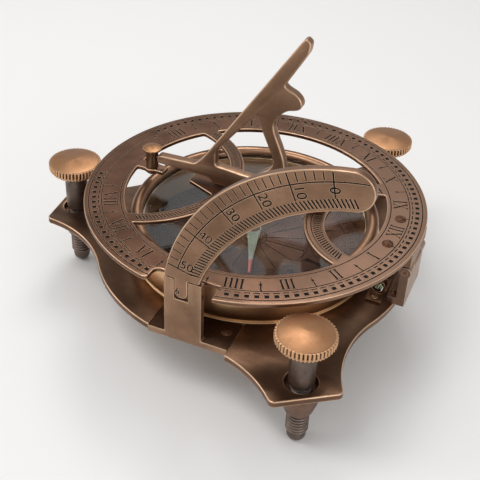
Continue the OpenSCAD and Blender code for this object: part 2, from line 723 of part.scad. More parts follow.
module dial_screws() {
  color([0.66, 0.50, 0.38]) for (s = [-1, 1]) translate([dial_screw_reach, s * dial_screw_side, 0]) {
    translate([0, 0, ring_low - lug_t]) cylinder(r = dial_screw_r, h = ring_t + lug_t);
    translate([0, 0, ring_top]) difference() {
      intersection() {
        cylinder(r = dial_screw_head_r, h = dial_screw_head_h);
        translate([0, 0, dial_screw_head_h - 3.6]) sphere(r = 3.6, $fn = 64);
      }
      rotate([0, 0, 35 * s]) translate([-dial_screw_head_r - 1, -screw_slot_w / 2, dial_screw_head_h - 0.4])
        cube([2 * dial_screw_head_r + 2, screw_slot_w, 1]);
    }
  }
}

module gnomon_post(x, top_z) {
  translate([x, 0, 0]) difference() {
    union() {
      translate([0, 0, ring_low - 0.5]) cylinder(r = 1.5, h = top_z - ring_low);
      translate([0, 0, ring_low - 0.9]) cylinder(r = 2, h = 0.8);
      translate([0, 0, ring_top]) cylinder(r = post_r, h = top_z - ring_top);
    }
    translate([-post_r - 1, 0, axis_z]) rotate([0, 90, 0]) cylinder(r = gnomon_pin_r + run_fit, h = 2 * post_r + 2);
  }
}

module south_gnomon_post() {
  color([0.58, 0.45, 0.36]) gnomon_post(-south_post, disc_z);
}

module post_disc() {
  color([0.78, 0.58, 0.42]) translate([-south_post, 0, disc_z]) intersection() {
    cylinder(r = disc_r, h = disc_t);
    translate([0, 0, disc_t - 12]) sphere(r = 12, $fn = 96);
  }
}

module north_gnomon_post() {
  color([0.58, 0.45, 0.36]) gnomon_post(north_post, disc_z);
}

// A point of the gnomon's leaf, given as shares of the style's height
function style_point(across, up) = [style_rise * across, ring_top + style_rise * up];

module gnomon() {
  tip = style_point(0.229, 1);
  heel = style_point(-0.323, 0.168);
  color([0.57, 0.40, 0.31]) difference() {
    upright_sheet(-gnomon_t / 2, gnomon_t) difference() {
      union() {
        polygon([
          [gnomon_south_end, axis_z - arm_half], [gnomon_south_end, axis_z + arm_half],
          [-0.379 * style_rise, axis_z + arm_half + 0.6], style_point(-0.345, 0.142), heel, style_point(0.213, 0.984), tip,
          style_point(0.258, 0.981), style_point(0.252, 0.926), style_point(0.132, 0.719), style_point(0.155, 0.703),
          style_point(0.200, 0.685), style_point(0.229, 0.658), style_point(0.239, 0.627), style_point(0.226, 0.602),
          style_point(0.200, 0.590), style_point(0.163, 0.582), style_point(0.132, 0.558), style_point(0.110, 0.534),
          style_point(0.085, 0.479), style_point(0.094, 0.432), style_point(0.129, 0.355), style_point(0.156, 0.287),
          style_point(0.169, 0.219), [0.197 * style_rise, bar_top + 0.9], [gnomon_north_end, bar_top],
          [gnomon_north_end, gnomon_low], [-0.263 * style_rise, gnomon_low], [-0.284 * style_rise, axis_z - arm_half - 0.3],
          [-0.5 * style_rise, axis_z - arm_half]
        ]);
      }
      polygon([
        style_point(-0.015, 0.515), style_point(-0.250, 0.221), [-0.248 * style_rise, bar_top + 1.2], [-0.018 * style_rise, bar_top],
        style_point(0.027, 0.160), style_point(0.074, 0.194), style_point(0.095, 0.226), style_point(0.098, 0.271),
        style_point(0.065, 0.337), style_point(0.039, 0.394)
      ]);
    }
    for (x = [gnomon_south_end - 1, gnomon_north_end - 5]) translate([x, 0, axis_z]) rotate([0, 90, 0])
      cylinder(r = gnomon_pin_r, h = 6);
  }
}

module gnomon_pins() {
  color([0.62, 0.50, 0.38]) {
    translate([-south_post - post_r, 0, axis_z]) rotate([0, 90, 0])
      cylinder(r = gnomon_pin_r, h = gnomon_south_end + 5 + south_post + post_r);
    translate([gnomon_north_end - 5, 0, axis_z]) rotate([0, 90, 0])
      cylinder(r = gnomon_pin_r, h = north_post + post_r - gnomon_north_end + 5);
  }
}

module stem(turn) {
  threads = floor((foot_drop + stem_shoulder - 5) / thread_pitch);
  tip_h = 2.6;
  root_r = thread_r - thread_depth;
  thread_low = stem_shoulder - 1 - threads * thread_pitch;
  turns = [for (i = [0:threads - 1]) for (k = [0, 1])
    k == 0 ? [thread_r, stem_shoulder - 1 - i * thread_pitch - thread_pitch * 0.15]
           : [root_r, stem_shoulder - 1 - (i + 0.6) * thread_pitch]];
  tip = [for (i = [0:6]) [root_r * cos(90 * i / 6), -foot_drop + tip_h - tip_h * sin(90 * i / 6)]];
  color([0.44, 0.38, 0.35]) at_ear(turn) rotate_extrude(convexity = 10) polygon(concat(
    [[0, knob_low + neck_h], [neck_r, knob_low + neck_h], [neck_r, knob_low], [stem_r, knob_low],
     [stem_r, stem_shoulder], [root_r, stem_shoulder - 1]],
    turns,
    [[root_r, thread_low]],
    tip
  ));
}

module near_stem() { stem(near_turn); }
module south_stem() { stem(south_turn); }
module far_stem() { stem(far_turn); }

module knob(turn) {
  low = knob_low + seat_fit;
  color([0.74, 0.53, 0.38]) at_ear(turn) difference() {
    intersection() {
      translate([0, 0, low]) linear_extrude(height = knob_h + knob_crown) difference() {
        circle(r = knob_r, $fn = 180);
        for (i = [0:knob_grooves - 1]) rotate(360 * i / knob_grooves) translate([knob_r, 0]) circle(r = groove_r, $fn = 16);
      }
      rotate_extrude($fn = 180) polygon([
        [0, low], [knob_r - 1, low], [knob_r, low + 1], [knob_r, low + knob_h - 0.4], [knob_r - 0.4, low + knob_h],
        [0, low + knob_h + knob_crown]
      ]);
    }
    translate([0, 0, low - 1]) cylinder(r = neck_r + run_fit, h = neck_h + 1.2);
  }
}

module near_knob() { knob(near_turn); }
module south_knob() { knob(south_turn); }
module far_knob() { knob(far_turn); }

base_plate();
near_bush();
south_bush();
far_bush();
compass_bowl();
bowl_screws();
compass_card();
needle_pivot();
glass_gasket();
bowl_glass();
bowl_bezel();
arc_bracket();
bracket_rivets();
arc_pin();
hinge_upright();
upright_rivets();
hinge_pin();
level_cradle();
level_screws();
level_vial();
level_spirit();
hour_ring();
hinge_lug();
dial_screws();
south_gnomon_post();
post_disc();
north_gnomon_post();
gnomon();
gnomon_pins();
latitude_arc();
needle();
needle_cap();
near_stem();
south_stem();
far_stem();
near_knob();
south_knob();
far_knob();
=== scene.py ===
"""Looks of an inclining sundial compass in aged brass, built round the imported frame."""

import math

import bpy
from mathutils import Matrix, Vector


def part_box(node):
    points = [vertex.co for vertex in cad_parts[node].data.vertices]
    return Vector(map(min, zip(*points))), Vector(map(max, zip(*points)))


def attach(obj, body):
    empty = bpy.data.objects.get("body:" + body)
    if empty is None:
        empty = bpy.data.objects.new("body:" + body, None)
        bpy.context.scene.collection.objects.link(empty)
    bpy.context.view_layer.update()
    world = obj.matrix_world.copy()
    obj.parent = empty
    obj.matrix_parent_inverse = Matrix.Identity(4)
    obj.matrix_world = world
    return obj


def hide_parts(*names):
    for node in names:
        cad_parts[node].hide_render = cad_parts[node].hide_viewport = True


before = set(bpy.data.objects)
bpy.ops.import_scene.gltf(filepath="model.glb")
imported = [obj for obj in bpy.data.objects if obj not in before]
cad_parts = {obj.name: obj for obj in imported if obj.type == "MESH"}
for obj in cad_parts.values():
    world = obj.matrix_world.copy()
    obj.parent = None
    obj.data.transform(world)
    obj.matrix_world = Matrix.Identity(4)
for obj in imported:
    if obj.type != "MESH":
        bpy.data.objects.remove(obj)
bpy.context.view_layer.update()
MM = 0.001


# Camera. A long lens looks down on the near side, a little from the right of the latitude arc.
# Its pan, tilt and roll are the photograph's, found from the two circles of the hour ring.
bearing = math.radians(21)
elevation = math.radians(33.38)
camera_distance = 326.6 * MM
aim_height = 25 * MM
photo_px = 480
focal_px = 926
aim_off_px = (13.43, -47.0)
camera_roll = math.radians(3.24)

backwards = Vector((
    math.sin(bearing) * math.cos(elevation),
    -math.cos(bearing) * math.cos(elevation),
    math.sin(elevation),
))
tilt = math.atan2(aim_off_px[1], focal_px)
pan = math.atan2(aim_off_px[0] * math.cos(tilt), focal_px)
lens = bpy.data.cameras.new("camera")
lens.sensor_width = 36
lens.lens = focal_px * lens.sensor_width / photo_px
camera = bpy.data.objects.new("camera", lens)
bpy.context.collection.objects.link(camera)
turned = (
    (-backwards).to_track_quat("-Z", "Y").to_matrix()
    @ Matrix.Rotation(tilt, 3, "X")
    @ Matrix.Rotation(pan, 3, "Y")
    @ Matrix.Rotation(camera_roll, 3, "Z")
)
aim = Vector((0, 0, aim_height))
camera.matrix_world = Matrix.Translation(aim + backwards * camera_distance) @ turned.to_4x4()
bpy.context.scene.camera = camera
bpy.context.scene.view_settings.view_transform = "Standard"


# Studio. A pale matt table top under four soft boxes: one high over the near side, one on each
# hand and one behind. The walls are one pale grey, which the metal and the glass mirror.
def hex_colour(code):
    """A colour written as sRGB hex, turned to the linear values that the nodes take."""
    shares = [int(code[i:i + 2], 16) / 255 for i in (1, 3, 5)]
    return (*[s / 12.92 if s <= 0.04045 else ((s + 0.055) / 1.055) ** 2.4 for s in shares], 1)


def add_node(tree, kind, inputs, **settings):
    """Adds a node, sets it, and fills or links its inputs."""
    node = tree.nodes.new("ShaderNode" + kind)
    for name, value in settings.items():
        setattr(node, name, value)
    for socket, value in inputs.items():
        if isinstance(value, bpy.types.NodeSocket):
            tree.links.new(value, node.inputs[socket])
        else:
            node.inputs[socket].default_value = value
    return node


def new_finish(name, colour, rough):
    """A new material of one colour and roughness, with its node tree and its main shader."""
    finish = bpy.data.materials.new(name)
    finish.use_nodes = True
    shader = finish.node_tree.nodes["Principled BSDF"]
    shader.inputs["Base Color"].default_value = hex_colour(colour)
    shader.inputs["Roughness"].default_value = rough
    return finish, finish.node_tree, shader


def soft_box(name, place, width, watts):
    """A square lamp that faces the compass."""
    lamp = bpy.data.lights.new(name, "AREA")
    lamp.size = width
    lamp.energy = watts
    box = bpy.data.objects.new(name, lamp)
    bpy.context.collection.objects.link(box)
    box.location = place
    box.rotation_euler = (Vector(place) - aim).to_track_quat("Z", "Y").to_euler()


soft_box("key_box", (-0.20, -0.24, 0.64), 0.30, 1.3)
soft_box("left_box", (-0.62, -0.20, 0.30), 0.26, 0.8)
soft_box("right_box", (0.58, -0.34, 0.26), 0.26, 1.0)
soft_box("back_box", (-0.15, 0.38, 0.63), 0.24, 1.1)

walls = bpy.data.worlds.new("studio_walls")
walls.use_nodes = True
walls.node_tree.nodes["Background"].inputs["Color"].default_value = hex_colour("#c4c4c4")
bpy.context.scene.world = walls

table_width = 4
stem_tip_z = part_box("near_stem")[0].z
bpy.ops.mesh.primitive_plane_add(size=table_width, location=(0, 0, stem_tip_z))
table_top = bpy.context.object
table_top.name = "table_top"
# Matt and nearly white, so that it shows soft shadows and no mirror image
table_top.data.materials.append(new_finish("white_table_laminate", "#f2f1ef", 0.7)[0])


# Hour ring. A stamped ring of 1.5 mm brass with two crescents across its opening and a notch for
# the arc. Its marks are etched and filled black, and its face is rubbed bright over brown.
def levels(node):
    """The lowest and highest Z of one of the frame's nodes, in millimetres."""
    low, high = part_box(node)
    return low.z / MM, high.z / MM


ring_low, ring_top = levels("hour_ring")
ring_t = ring_top - ring_low
ring_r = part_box("hour_ring")[1].x / MM
ring_open_r = 46.0
south_centre, south_r, south_w = 45.08, 37.2, 5.1
north_centre, north_r, north_w = 47.7, 27.9, 6.9
spur_tip, spur_end_w = 24.97, 5.0
tongue_w, tongue_end = 4.4, 35.7
south_post, post_pad_r = 41.1, 2.9
notch_south, notch_north, notch_y = -12.3, 10.2, -52.4
ring_edge = 0.22


def arc_run(x, y, radius, start, end, chord=0.7):
    """Points along an arc from one angle to another, in degrees, with both ends."""
    steps = max(2, math.ceil(abs(math.radians(end - start)) * radius / chord))
    angles = [math.radians(start + (end - start) * i / steps) for i in range(steps + 1)]
    return [(x + radius * math.cos(a), y + radius * math.sin(a)) for a in angles]


def full_circle(x, y, radius, chord=0.7):
    """Points round a whole circle, without a doubled seam point."""
    return arc_run(x, y, radius, 0, 360, chord)[:-1]


def eased(outline, reach, sharp=30):
    """A closed outline with each sharp corner rounded over the given length on both sides."""
    too_close = 0.12
    points = [Vector(p) for i, p in enumerate(outline)
              if (Vector(p) - Vector(outline[i - 1])).length > too_close]
    count = len(points)
    runs = [points[(i + 1) % count] - points[i] for i in range(count)]
    sides = [run.length for run in runs]
    starts = [sum(sides[:i]) for i in range(count)]
    total = sum(sides)
    corners = [i for i in range(count) if math.degrees(runs[i - 1].angle(runs[i])) > sharp]

    def at(length):
        length %= total
        i = max(k for k in range(count) if starts[k] <= length + 1e-9)
        return points[i].lerp(points[(i + 1) % count], (length - starts[i]) / sides[i])

    most = 0.48
    gaps = {}
    for k, i in enumerate(corners):
        to_next = (starts[corners[(k + 1) % len(corners)]] - starts[i]) % total or total
        to_last = (starts[i] - starts[corners[k - 1]]) % total or total
        wanted = reach[k % len(reach)] if isinstance(reach, list) else reach
        gaps[i] = min(wanted, to_next * most, to_last * most)

    def is_clear(length):
        return all(min((length - starts[c]) % total, (starts[c] - length) % total) > gap
                   for c, gap in gaps.items())

    result = []
    for i in range(count):
        if i in gaps:
            first, last = at(starts[i] - gaps[i]), at(starts[i] + gaps[i])
            for t in (0, 0.2, 0.4, 0.6, 0.8, 1):
                result.append(first.lerp(points[i], t).lerp(points[i].lerp(last, t), t))
        elif is_clear(starts[i]):
            result.append(points[i])
    return [tuple(p) for p in result]


def picked(piece):
    """Selects one piece and nothing else."""
    bpy.ops.object.select_all(action="DESELECT")
    piece.select_set(True)
    bpy.context.view_layer.objects.active = piece


def drawn(name, outlines, closed=True, **settings):
    """Draws outlines as straight-sided lines and turns them into a mesh."""
    drawing = bpy.data.curves.new(name, "CURVE")
    for setting, value in settings.items():
        setattr(drawing, setting, value)
    for outline in outlines:
        line = drawing.splines.new("POLY")
        line.points.add(len(outline) - 1)
        for point, place in zip(line.points, outline):
            point.co = (*place, 1)
        line.use_cyclic_u = closed
    piece = bpy.data.objects.new(name, drawing)
    bpy.context.collection.objects.link(piece)
    picked(piece)
    bpy.ops.object.convert(target="MESH")
    return piece


doubled_gap = 0.002


def closed_up(piece):
    """Merges doubled points and turns every face outwards."""
    bpy.context.view_layer.objects.active = piece
    bpy.ops.object.mode_set(mode="EDIT")
    bpy.ops.mesh.select_all(action="SELECT")
    bpy.ops.mesh.remove_doubles(threshold=doubled_gap)
    bpy.ops.mesh.normals_make_consistent(inside=False)
    bpy.ops.object.mode_set(mode="OBJECT")


def sheet(name, outlines, thick, edge=0.0):
    """A flat piece in millimetres round Z 0 from closed outlines, with rounded edges."""
    piece = drawn(name, [[(x, y, 0) for x, y in outline] for outline in outlines],
                  dimensions="2D", fill_mode="BOTH", extrude=thick / 2 - edge,
                  bevel_depth=edge, bevel_resolution=2, offset=-edge)
    closed_up(piece)
    return piece


def moved(piece, place=(0, 0, 0), turn=(0, 0, 0)):
    """Turns and moves a piece, in millimetres and degrees, and applies both to its mesh."""
    picked(piece)
    piece.location = place
    piece.rotation_euler = [math.radians(a) for a in turn]
    bpy.ops.object.transform_apply(location=True, rotation=True, scale=True)
    return piece


def joined(operation, piece, tool):
    """Cuts a tool out of a piece, or unites them, and keeps the tool's material on its faces."""
    step = piece.modifiers.new("join", "BOOLEAN")
    step.operation = operation
    step.object = tool
    step.solver = "EXACT"
    step.material_mode = "TRANSFER"
    picked(piece)
    bpy.ops.object.modifier_apply(modifier=step.name)
    bpy.data.objects.remove(tool)


def settled(piece, body, slot, *nodes, smooth=35):
    """Brings a finished piece from millimetres to metres, smooths it and hangs it on its body."""
    picked(piece)
    piece.scale = (MM, MM, MM)
    bpy.ops.object.transform_apply(location=True, rotation=True, scale=True)
    bpy.ops.object.shade_smooth_by_angle(angle=math.radians(smooth))
    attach(piece, body)
    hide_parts(*nodes)


def spread(finish, share, code):
    """Spreads a second colour over a finish, as much as the share says from place to place."""
    tree = finish.node_tree
    colour = tree.nodes["Principled BSDF"].inputs["Base Color"]
    under = colour.links[0].from_socket if colour.links else list(colour.default_value)
    both = add_node(tree, "Mix", {0: share, 6: under, 7: hex_colour(code)}, data_type="RGBA")
    tree.links.new(both.outputs[2], colour)


def worn_metal(name, body, patina, worn, rough, blotch=11.0, cover=0.5, edge=0.22, dent=0.6):
    """Metal whose brown patina lies in soft blotches and is rubbed bright along the edges."""
    metal, tree, shader = new_finish(name, body, rough)
    shader.inputs["Metallic"].default_value = 1.0
    place = add_node(tree, "TexCoord", {}).outputs["Object"]
    clouds = add_node(tree, "TexNoise", {
        "Vector": place, "Scale": 1 / (blotch * MM), "Detail": 5, "Roughness": 0.6})
    shade = add_node(tree, "MapRange", {0: clouds.outputs[0], 1: 0.35, 2: 0.68, 3: 0.0, 4: cover})
    spread(metal, shade.outputs[0], patina)
    specks = add_node(tree, "TexNoise", {
        "Vector": place, "Scale": 1 / (0.9 * MM), "Detail": 3, "Roughness": 0.7})
    flecks = add_node(tree, "MapRange", {0: specks.outputs[0], 1: 0.55, 2: 0.75, 3: 0.0, 4: 0.35})
    spread(metal, flecks.outputs[0], patina)
    # The rounding is felt where the surface turns away from its own flat face
    rounded = add_node(tree, "Bevel", {"Radius": edge * MM}, samples=6)
    flat = add_node(tree, "NewGeometry", {}).outputs["True Normal"]
    bend = add_node(tree, "VectorMath", {0: rounded.outputs[0], 1: flat}, operation="DOT_PRODUCT")
    rubbed = add_node(tree, "MapRange", {0: bend.outputs[1], 1: 0.998, 2: 0.93, 3: 0.0, 4: 0.9})
    spread(metal, rubbed.outputs[0], worn)
    dull = add_node(tree, "MapRange", {0: clouds.outputs[0], 1: 0.3, 2: 0.7, 3: rough - 0.06, 4: rough + 0.1})
    tree.links.new(dull.outputs[0], shader.inputs["Roughness"])
    dents = add_node(tree, "Bump", {
        "Height": specks.outputs[0], "Distance": 0.02 * MM, "Strength": dent, "Normal": rounded.outputs[0]})
    tree.links.new(dents.outputs[0], shader.inputs["Normal"])
    return metal


def filling(name, colour):
    """Black wax and tarnish that fill the etched marks: dull, with no shine of its own."""
    wax, tree, shader = new_finish(name, colour, 0.75)
    place = add_node(tree, "TexCoord", {}).outputs["Object"]
    grit = add_node(tree, "TexNoise", {"Vector": place, "Scale": 1 / (1.2 * MM), "Detail": 3})
    spread(wax, grit.outputs[0], "#1f140f")
    shader.inputs["Specular IOR Level"].default_value = 0.2
    return wax


# Copper brown all over, darker in soft clouds, and peachy where fingers took the brown off
ring_brass = worn_metal("etched_ring_brass", "#7b5946", "#3f2b20", "#e0bd9e", 0.4, blotch=20, cover=0.75)
# Painted light and shade: the ring is painted paler towards the hinge, so the south half reads as in shade
ring_tree = ring_brass.node_tree
ring_place = add_node(ring_tree, "TexCoord", {}).outputs["Object"]
ring_side = add_node(ring_tree, "SeparateXYZ", {0: ring_place})
north_painted_light = add_node(ring_tree, "MapRange", {
    0: ring_side.outputs["X"], 1: -5 * MM, 2: 55 * MM, 3: 0.0, 4: 0.45})
spread(ring_brass, north_painted_light.outputs[0], "#b0907a")
# Rims are rubbed nearly clean, so they draw a thin bright line round every flat piece
rim_brass = worn_metal("rubbed_rim_brass", "#dcb494", "#a88163", "#f4d8bc", 0.33, blotch=6, cover=0.6)
black_filling = filling("black_wax_filling", "#120b08")

notch_mouth_r, notch_root_r, hole_corner = 0.5, 2.4, 0.8
ring_outer = eased(
    arc_run(0, 0, ring_r, math.degrees(math.asin(-math.sqrt(1 - (notch_north / ring_r) ** 2))),
            360 - math.degrees(math.acos(notch_south / ring_r)))
    + [(notch_south, notch_y), (notch_north, notch_y)],
    [notch_mouth_r, notch_root_r, notch_root_r, notch_mouth_r])
# Each hole follows the circles round it, from the angle where two of them cross to the next
middle_hole = eased(
    arc_run(0, 0, ring_open_r, 34.57, 131.8) + arc_run(-south_centre, 0, south_r, 67.2, -67.2)
    + arc_run(0, 0, ring_open_r, -131.8, -34.57)
    + arc_run(north_centre, 0, north_r, -110.6, -249.4), hole_corner)
south_hole = eased(
    arc_run(0, 0, ring_open_r, 138.7, 177.26)
    + arc_run(-south_post, 0, post_pad_r, 130.7, 49.3)
    + [(-tongue_end, tongue_w / 2), (-tongue_end, -tongue_w / 2)]
    + arc_run(-south_post, 0, post_pad_r, -49.3, -130.7)
    + arc_run(0, 0, ring_open_r, -177.26, -138.7)
    + arc_run(-south_centre, 0, south_r - south_w, -70.9, -12.9)
    + [(-spur_tip, -spur_end_w / 2), (-spur_tip, spur_end_w / 2)]
    + arc_run(-south_centre, 0, south_r - south_w, 12.9, 70.9), hole_corner)
north_hole = eased(
    arc_run(0, 0, ring_open_r, -25.8, 25.8)
    + arc_run(north_centre, 0, north_r - north_w, 107.4, 252.6), hole_corner)
hour_plate = sheet("hour_plate", [ring_outer, middle_hole, south_hole, north_hole], ring_t, ring_edge)

# Each letter's width, and its outline round its own middle
letters = {
    "I": (1.3, [(-0.65, -2.45), (0.65, -2.45), (0.65, -2.15), (0.32, -2.15), (0.32, 2.15), (0.65, 2.15),
                (0.65, 2.45), (-0.65, 2.45), (-0.65, 2.15), (-0.32, 2.15), (-0.32, -2.15), (-0.65, -2.15)]),
    "V": (3.5, [(-1.75, 2.45), (-0.45, 2.45), (-0.45, 2.15), (-0.78, 2.15), (0.22, -1.35), (0.98, 2.15),
                (0.62, 2.15), (0.62, 2.45), (1.75, 2.45), (1.75, 2.15), (1.32, 2.15), (0.2, -2.45),
                (-0.14, -2.45), (-1.45, 2.15), (-1.75, 2.15)]),
    "X": (3.5, [(-1.75, 2.45), (-0.45, 2.45), (-0.45, 2.15), (-0.77, 2.15), (0.1, 0.5), (0.96, 2.15),
                (0.6, 2.15), (0.6, 2.45), (1.7, 2.45), (1.7, 2.15), (1.3, 2.15), (0.26, 0.2), (1.5, -2.15),
                (1.75, -2.15), (1.75, -2.45), (0.45, -2.45), (0.45, -2.15), (0.77, -2.15), (-0.1, -0.5),
                (-0.96, -2.15), (-0.6, -2.15), (-0.6, -2.45), (-1.7, -2.45), (-1.7, -2.15), (-1.3, -2.15),
                (-0.26, -0.2), (-1.5, 2.15), (-1.75, 2.15)]),
}
letter_gap = 0.4
numeral_r = 50.75
hour_turn = 18.75
hours = "IIII V VI VII VIII IX X XI XII I II III IIII V VI VII VIII".split()
noon_place = 8


def turned_about(outline, turn, radius):
    """An outline drawn upright, stood on the ring at an angle with its top towards the middle."""
    along = Vector((-math.sin(turn), math.cos(turn)))
    inward = Vector((-math.cos(turn), -math.sin(turn)))
    middle = -inward * radius
    return [tuple(middle + along * x + inward * y) for x, y in outline]


ring_marks = []
for place, hour in enumerate(hours):
    turn = math.radians((noon_place - place) * hour_turn)
    total = sum(letters[c][0] for c in hour) + letter_gap * (len(hour) - 1)
    left = -total / 2
    for c in hour:
        width, shape = letters[c]
        ring_marks.append(turned_about([(x + left + width / 2, y) for x, y in shape], turn, numeral_r))
        left += width + letter_gap
half_hour = [(-0.2, -3.0), (0.2, -3.0), (0.2, -0.5), (0.55, 0.0), (0.2, 0.5), (0.12, 1.3), (-0.12, 1.3),
             (-0.2, 0.5), (-0.55, 0.0), (-0.2, -0.5)]
for place in range(len(hours) + 1):
    turn = math.radians((noon_place + 0.5 - place) * hour_turn)
    ring_marks.append(turned_about(half_hour, turn, numeral_r))


def oblong(half_w, half_h):
    """The outline of a small upright rectangle round its own middle."""
    return [(-half_w, -half_h), (half_w, -half_h), (half_w, half_h), (-half_w, half_h)]


# Squares and dashes share their spacing. Both leave the south end bare, and the squares the notch
bare_from, bare_to = 157.0, 193.0
square_r, dash_r = 56.5, 54.9
notch_angle, notch_half_angle = 268.9, 12.6
minute_turn = hour_turn / 6
for step in range(int(360 / minute_turn)):
    angle = (bare_to + step * minute_turn) % 360
    if bare_from < angle < bare_to:
        continue
    turn = math.radians(angle)
    if abs((angle - notch_angle + 180) % 360 - 180) >= notch_half_angle:
        ring_marks.append(turned_about(oblong(0.75, 0.7), turn, square_r))
    ring_marks.append(turned_about(oblong(1.05, 0.2), turn, dash_r))


def finished(piece, metal):
    """Gives a flat piece its metal, and the rubbed finish on its rounded edges."""
    piece.data.materials.append(metal)
    piece.data.materials.append(rim_brass)
    for face in piece.data.polygons:
        face.material_index = 1 if 0.1 < abs(face.normal.z) < 0.98 else 0


def etched(piece, name, outlines, top, depth):
    """Cuts flat outlines into a level face and leaves the black filling on what is cut."""
    tool = sheet(name, outlines, 2 * depth)
    tool.data.materials.append(black_filling)
    moved(tool, (0, 0, top))
    joined("DIFFERENCE", piece, tool)


def ring_line(x, y, radius, width, start=None, end=None):
    """The outlines of a thin line that runs round a circle, or part of it."""
    if start is None:
        return [full_circle(x, y, radius + width / 2), full_circle(x, y, radius - width / 2)]
    return [arc_run(x, y, radius + width / 2, start, end) + arc_run(x, y, radius - width / 2, end, start)]


finished(hour_plate, ring_brass)
ring_face = ring_t / 2
# Each kind of mark is cut to its own depth, so that no two floors lie in one plane
etch_depth = 0.16
etched(hour_plate, "ring_marks", ring_marks, ring_face, etch_depth)
inner_line_r, middle_line_r, outer_line_r = 47.4, 53.9, 58.3
middle_line_run, outer_line_run = (-89, 245), (-80.4, 258)
line_w, outer_line_w = 0.34, 0.4
lines = (ring_line(0, 0, inner_line_r, line_w) + ring_line(0, 0, middle_line_r, line_w, *middle_line_run)
         + ring_line(0, 0, outer_line_r, outer_line_w, *outer_line_run))
etched(hour_plate, "ring_lines", lines, ring_face, etch_depth - 0.03)

# The rope border of each crescent: slanted strokes between two lines
stroke_pitch, stroke_lean, stroke_half_w = 1.15, 0.55, 0.3
south_reach, north_reach = 66, 70
rope_marks = []
for centre, inner, outer, reach in (
    (-south_centre, south_r - south_w + 1.3, south_r - 1.5, south_reach),
    (north_centre, north_r - north_w + 0.9, north_r - 2.9, north_reach),
):
    middle = (inner + outer) / 2
    count = int(2 * math.radians(reach) * middle / stroke_pitch)
    facing = 0 if centre < 0 else math.pi
    for step in range(count):
        turn = facing - math.radians(reach) + (step + 0.5) * stroke_pitch / middle
        lean = stroke_lean / middle
        half = stroke_half_w / middle
        rope_marks.append([
            (centre + r * math.cos(a), r * math.sin(a)) for r, a in (
                (inner, turn - lean - half), (inner, turn - lean + half),
                (outer, turn + lean + half), (outer, turn + lean - half))])
etched(hour_plate, "rope_marks", rope_marks, ring_face, etch_depth - 0.01)
rope_lines = (
    ring_line(-south_centre, 0, south_r - south_w + 0.75, line_w, -south_reach, south_reach)
    + ring_line(-south_centre, 0, south_r - 0.9, 0.36, -south_reach, south_reach)
    + ring_line(north_centre, 0, north_r - 2.4, line_w, 180 - 69, 180 + 69)
    + ring_line(north_centre, 0, north_r - 0.9, 0.3, 180 - 67, 180 + 67))
etched(hour_plate, "rope_lines", rope_lines, ring_face, etch_depth - 0.04)
moved(hour_plate, (0, 0, (ring_low + ring_top) / 2))
settled(hour_plate, "dial", "aged_brass", "hour_ring")


# Latitude arc. A flat quadrant of 2.6 mm brass that stands in the bracket on a pin and folds out
# flat. Its degrees and the rope border are etched in the front face and filled black.
arc_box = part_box("latitude_arc")
arc_t = (arc_box[1].y - arc_box[0].y) / MM
arc_face = 55.5
outer_x, outer_z, outer_r = 54.5, 16.0, 63.0
inner_x, inner_z, inner_r = 62.5, 7.1, 61.0
shoulder_z = ring_top + 0.4
fold_z = shoulder_z - 5.2
arc_end_x = 48.4
tang_x, tang_w = -1.9, 4.5


def height_on(x, centre_x, centre_z, radius):
    """Height of a circle's upper side over a place on the X axis."""
    return centre_z + math.sqrt(radius ** 2 - (x - centre_x) ** 2)


def angle_at(x, z, centre_x, centre_z):
    """The angle in degrees at which a circle's middle sees a place."""
    return math.degrees(math.atan2(z - centre_z, x - centre_x))


end_out = height_on(arc_end_x, outer_x, outer_z, outer_r)
end_in = height_on(arc_end_x, inner_x, inner_z, inner_r)
outer_foot = outer_x - math.sqrt(outer_r ** 2 - (shoulder_z - outer_z) ** 2)
inner_foot = inner_x - math.sqrt(inner_r ** 2 - (shoulder_z - inner_z) ** 2)
arc_outline = eased(
    arc_run(outer_x, outer_z, outer_r, angle_at(outer_foot, shoulder_z, outer_x, outer_z),
            angle_at(arc_end_x, end_out, outer_x, outer_z))
    + arc_run(arc_end_x, (end_out + end_in) / 2, (end_out - end_in) / 2, 88, -88)
    + arc_run(inner_x, inner_z, inner_r, angle_at(arc_end_x, end_in, inner_x, inner_z),
              angle_at(inner_foot, shoulder_z, inner_x, inner_z))
    + [(tang_x + tang_w / 2, shoulder_z + 0.05)]
    + arc_run(tang_x, fold_z, tang_w / 2, 0, -180)
    + [(tang_x - tang_w / 2, shoulder_z)], 0.5)
arc_edge = 0.3
latitude_plate = sheet("latitude_plate", [arc_outline], arc_t, arc_edge)
# The same brass as the ring, cleaner because the arc is handled each time it is folded
aged_copper = worn_metal("aged_copper_brass", "#9c7a62", "#604838", "#e8c8aa", 0.4, blotch=18, cover=0.6)
finished(latitude_plate, aged_copper)

mark_x, mark_z = 54.4, 15.2
degree_marks = [101.0, 113.3, 124.9, 137.3, 151.2, 165.8]
line_x, line_z, line_r = 59.2, 11.7, 64.7


def bar(x0, z0, x1, z1, width):
    """The outline of a straight bar between two points."""
    along = Vector((x1 - x0, z1 - z0)).normalized()
    side = Vector((-along.y, along.x)) * width / 2
    start, end = Vector((x0, z0)), Vector((x1, z1))
    return [tuple(start - side), tuple(end - side), tuple(end + side), tuple(start + side)]


def on_circle(angle, centre_x, centre_z, radius):
    """Where a ray from the middle of the degree marks meets a circle."""
    ray = Vector((math.cos(math.radians(angle)), math.sin(math.radians(angle))))
    offset = Vector((mark_x - centre_x, mark_z - centre_z))
    along = -offset.dot(ray) + math.sqrt(offset.dot(ray) ** 2 - offset.length_squared + radius ** 2)
    return Vector((mark_x, mark_z)) + ray * along


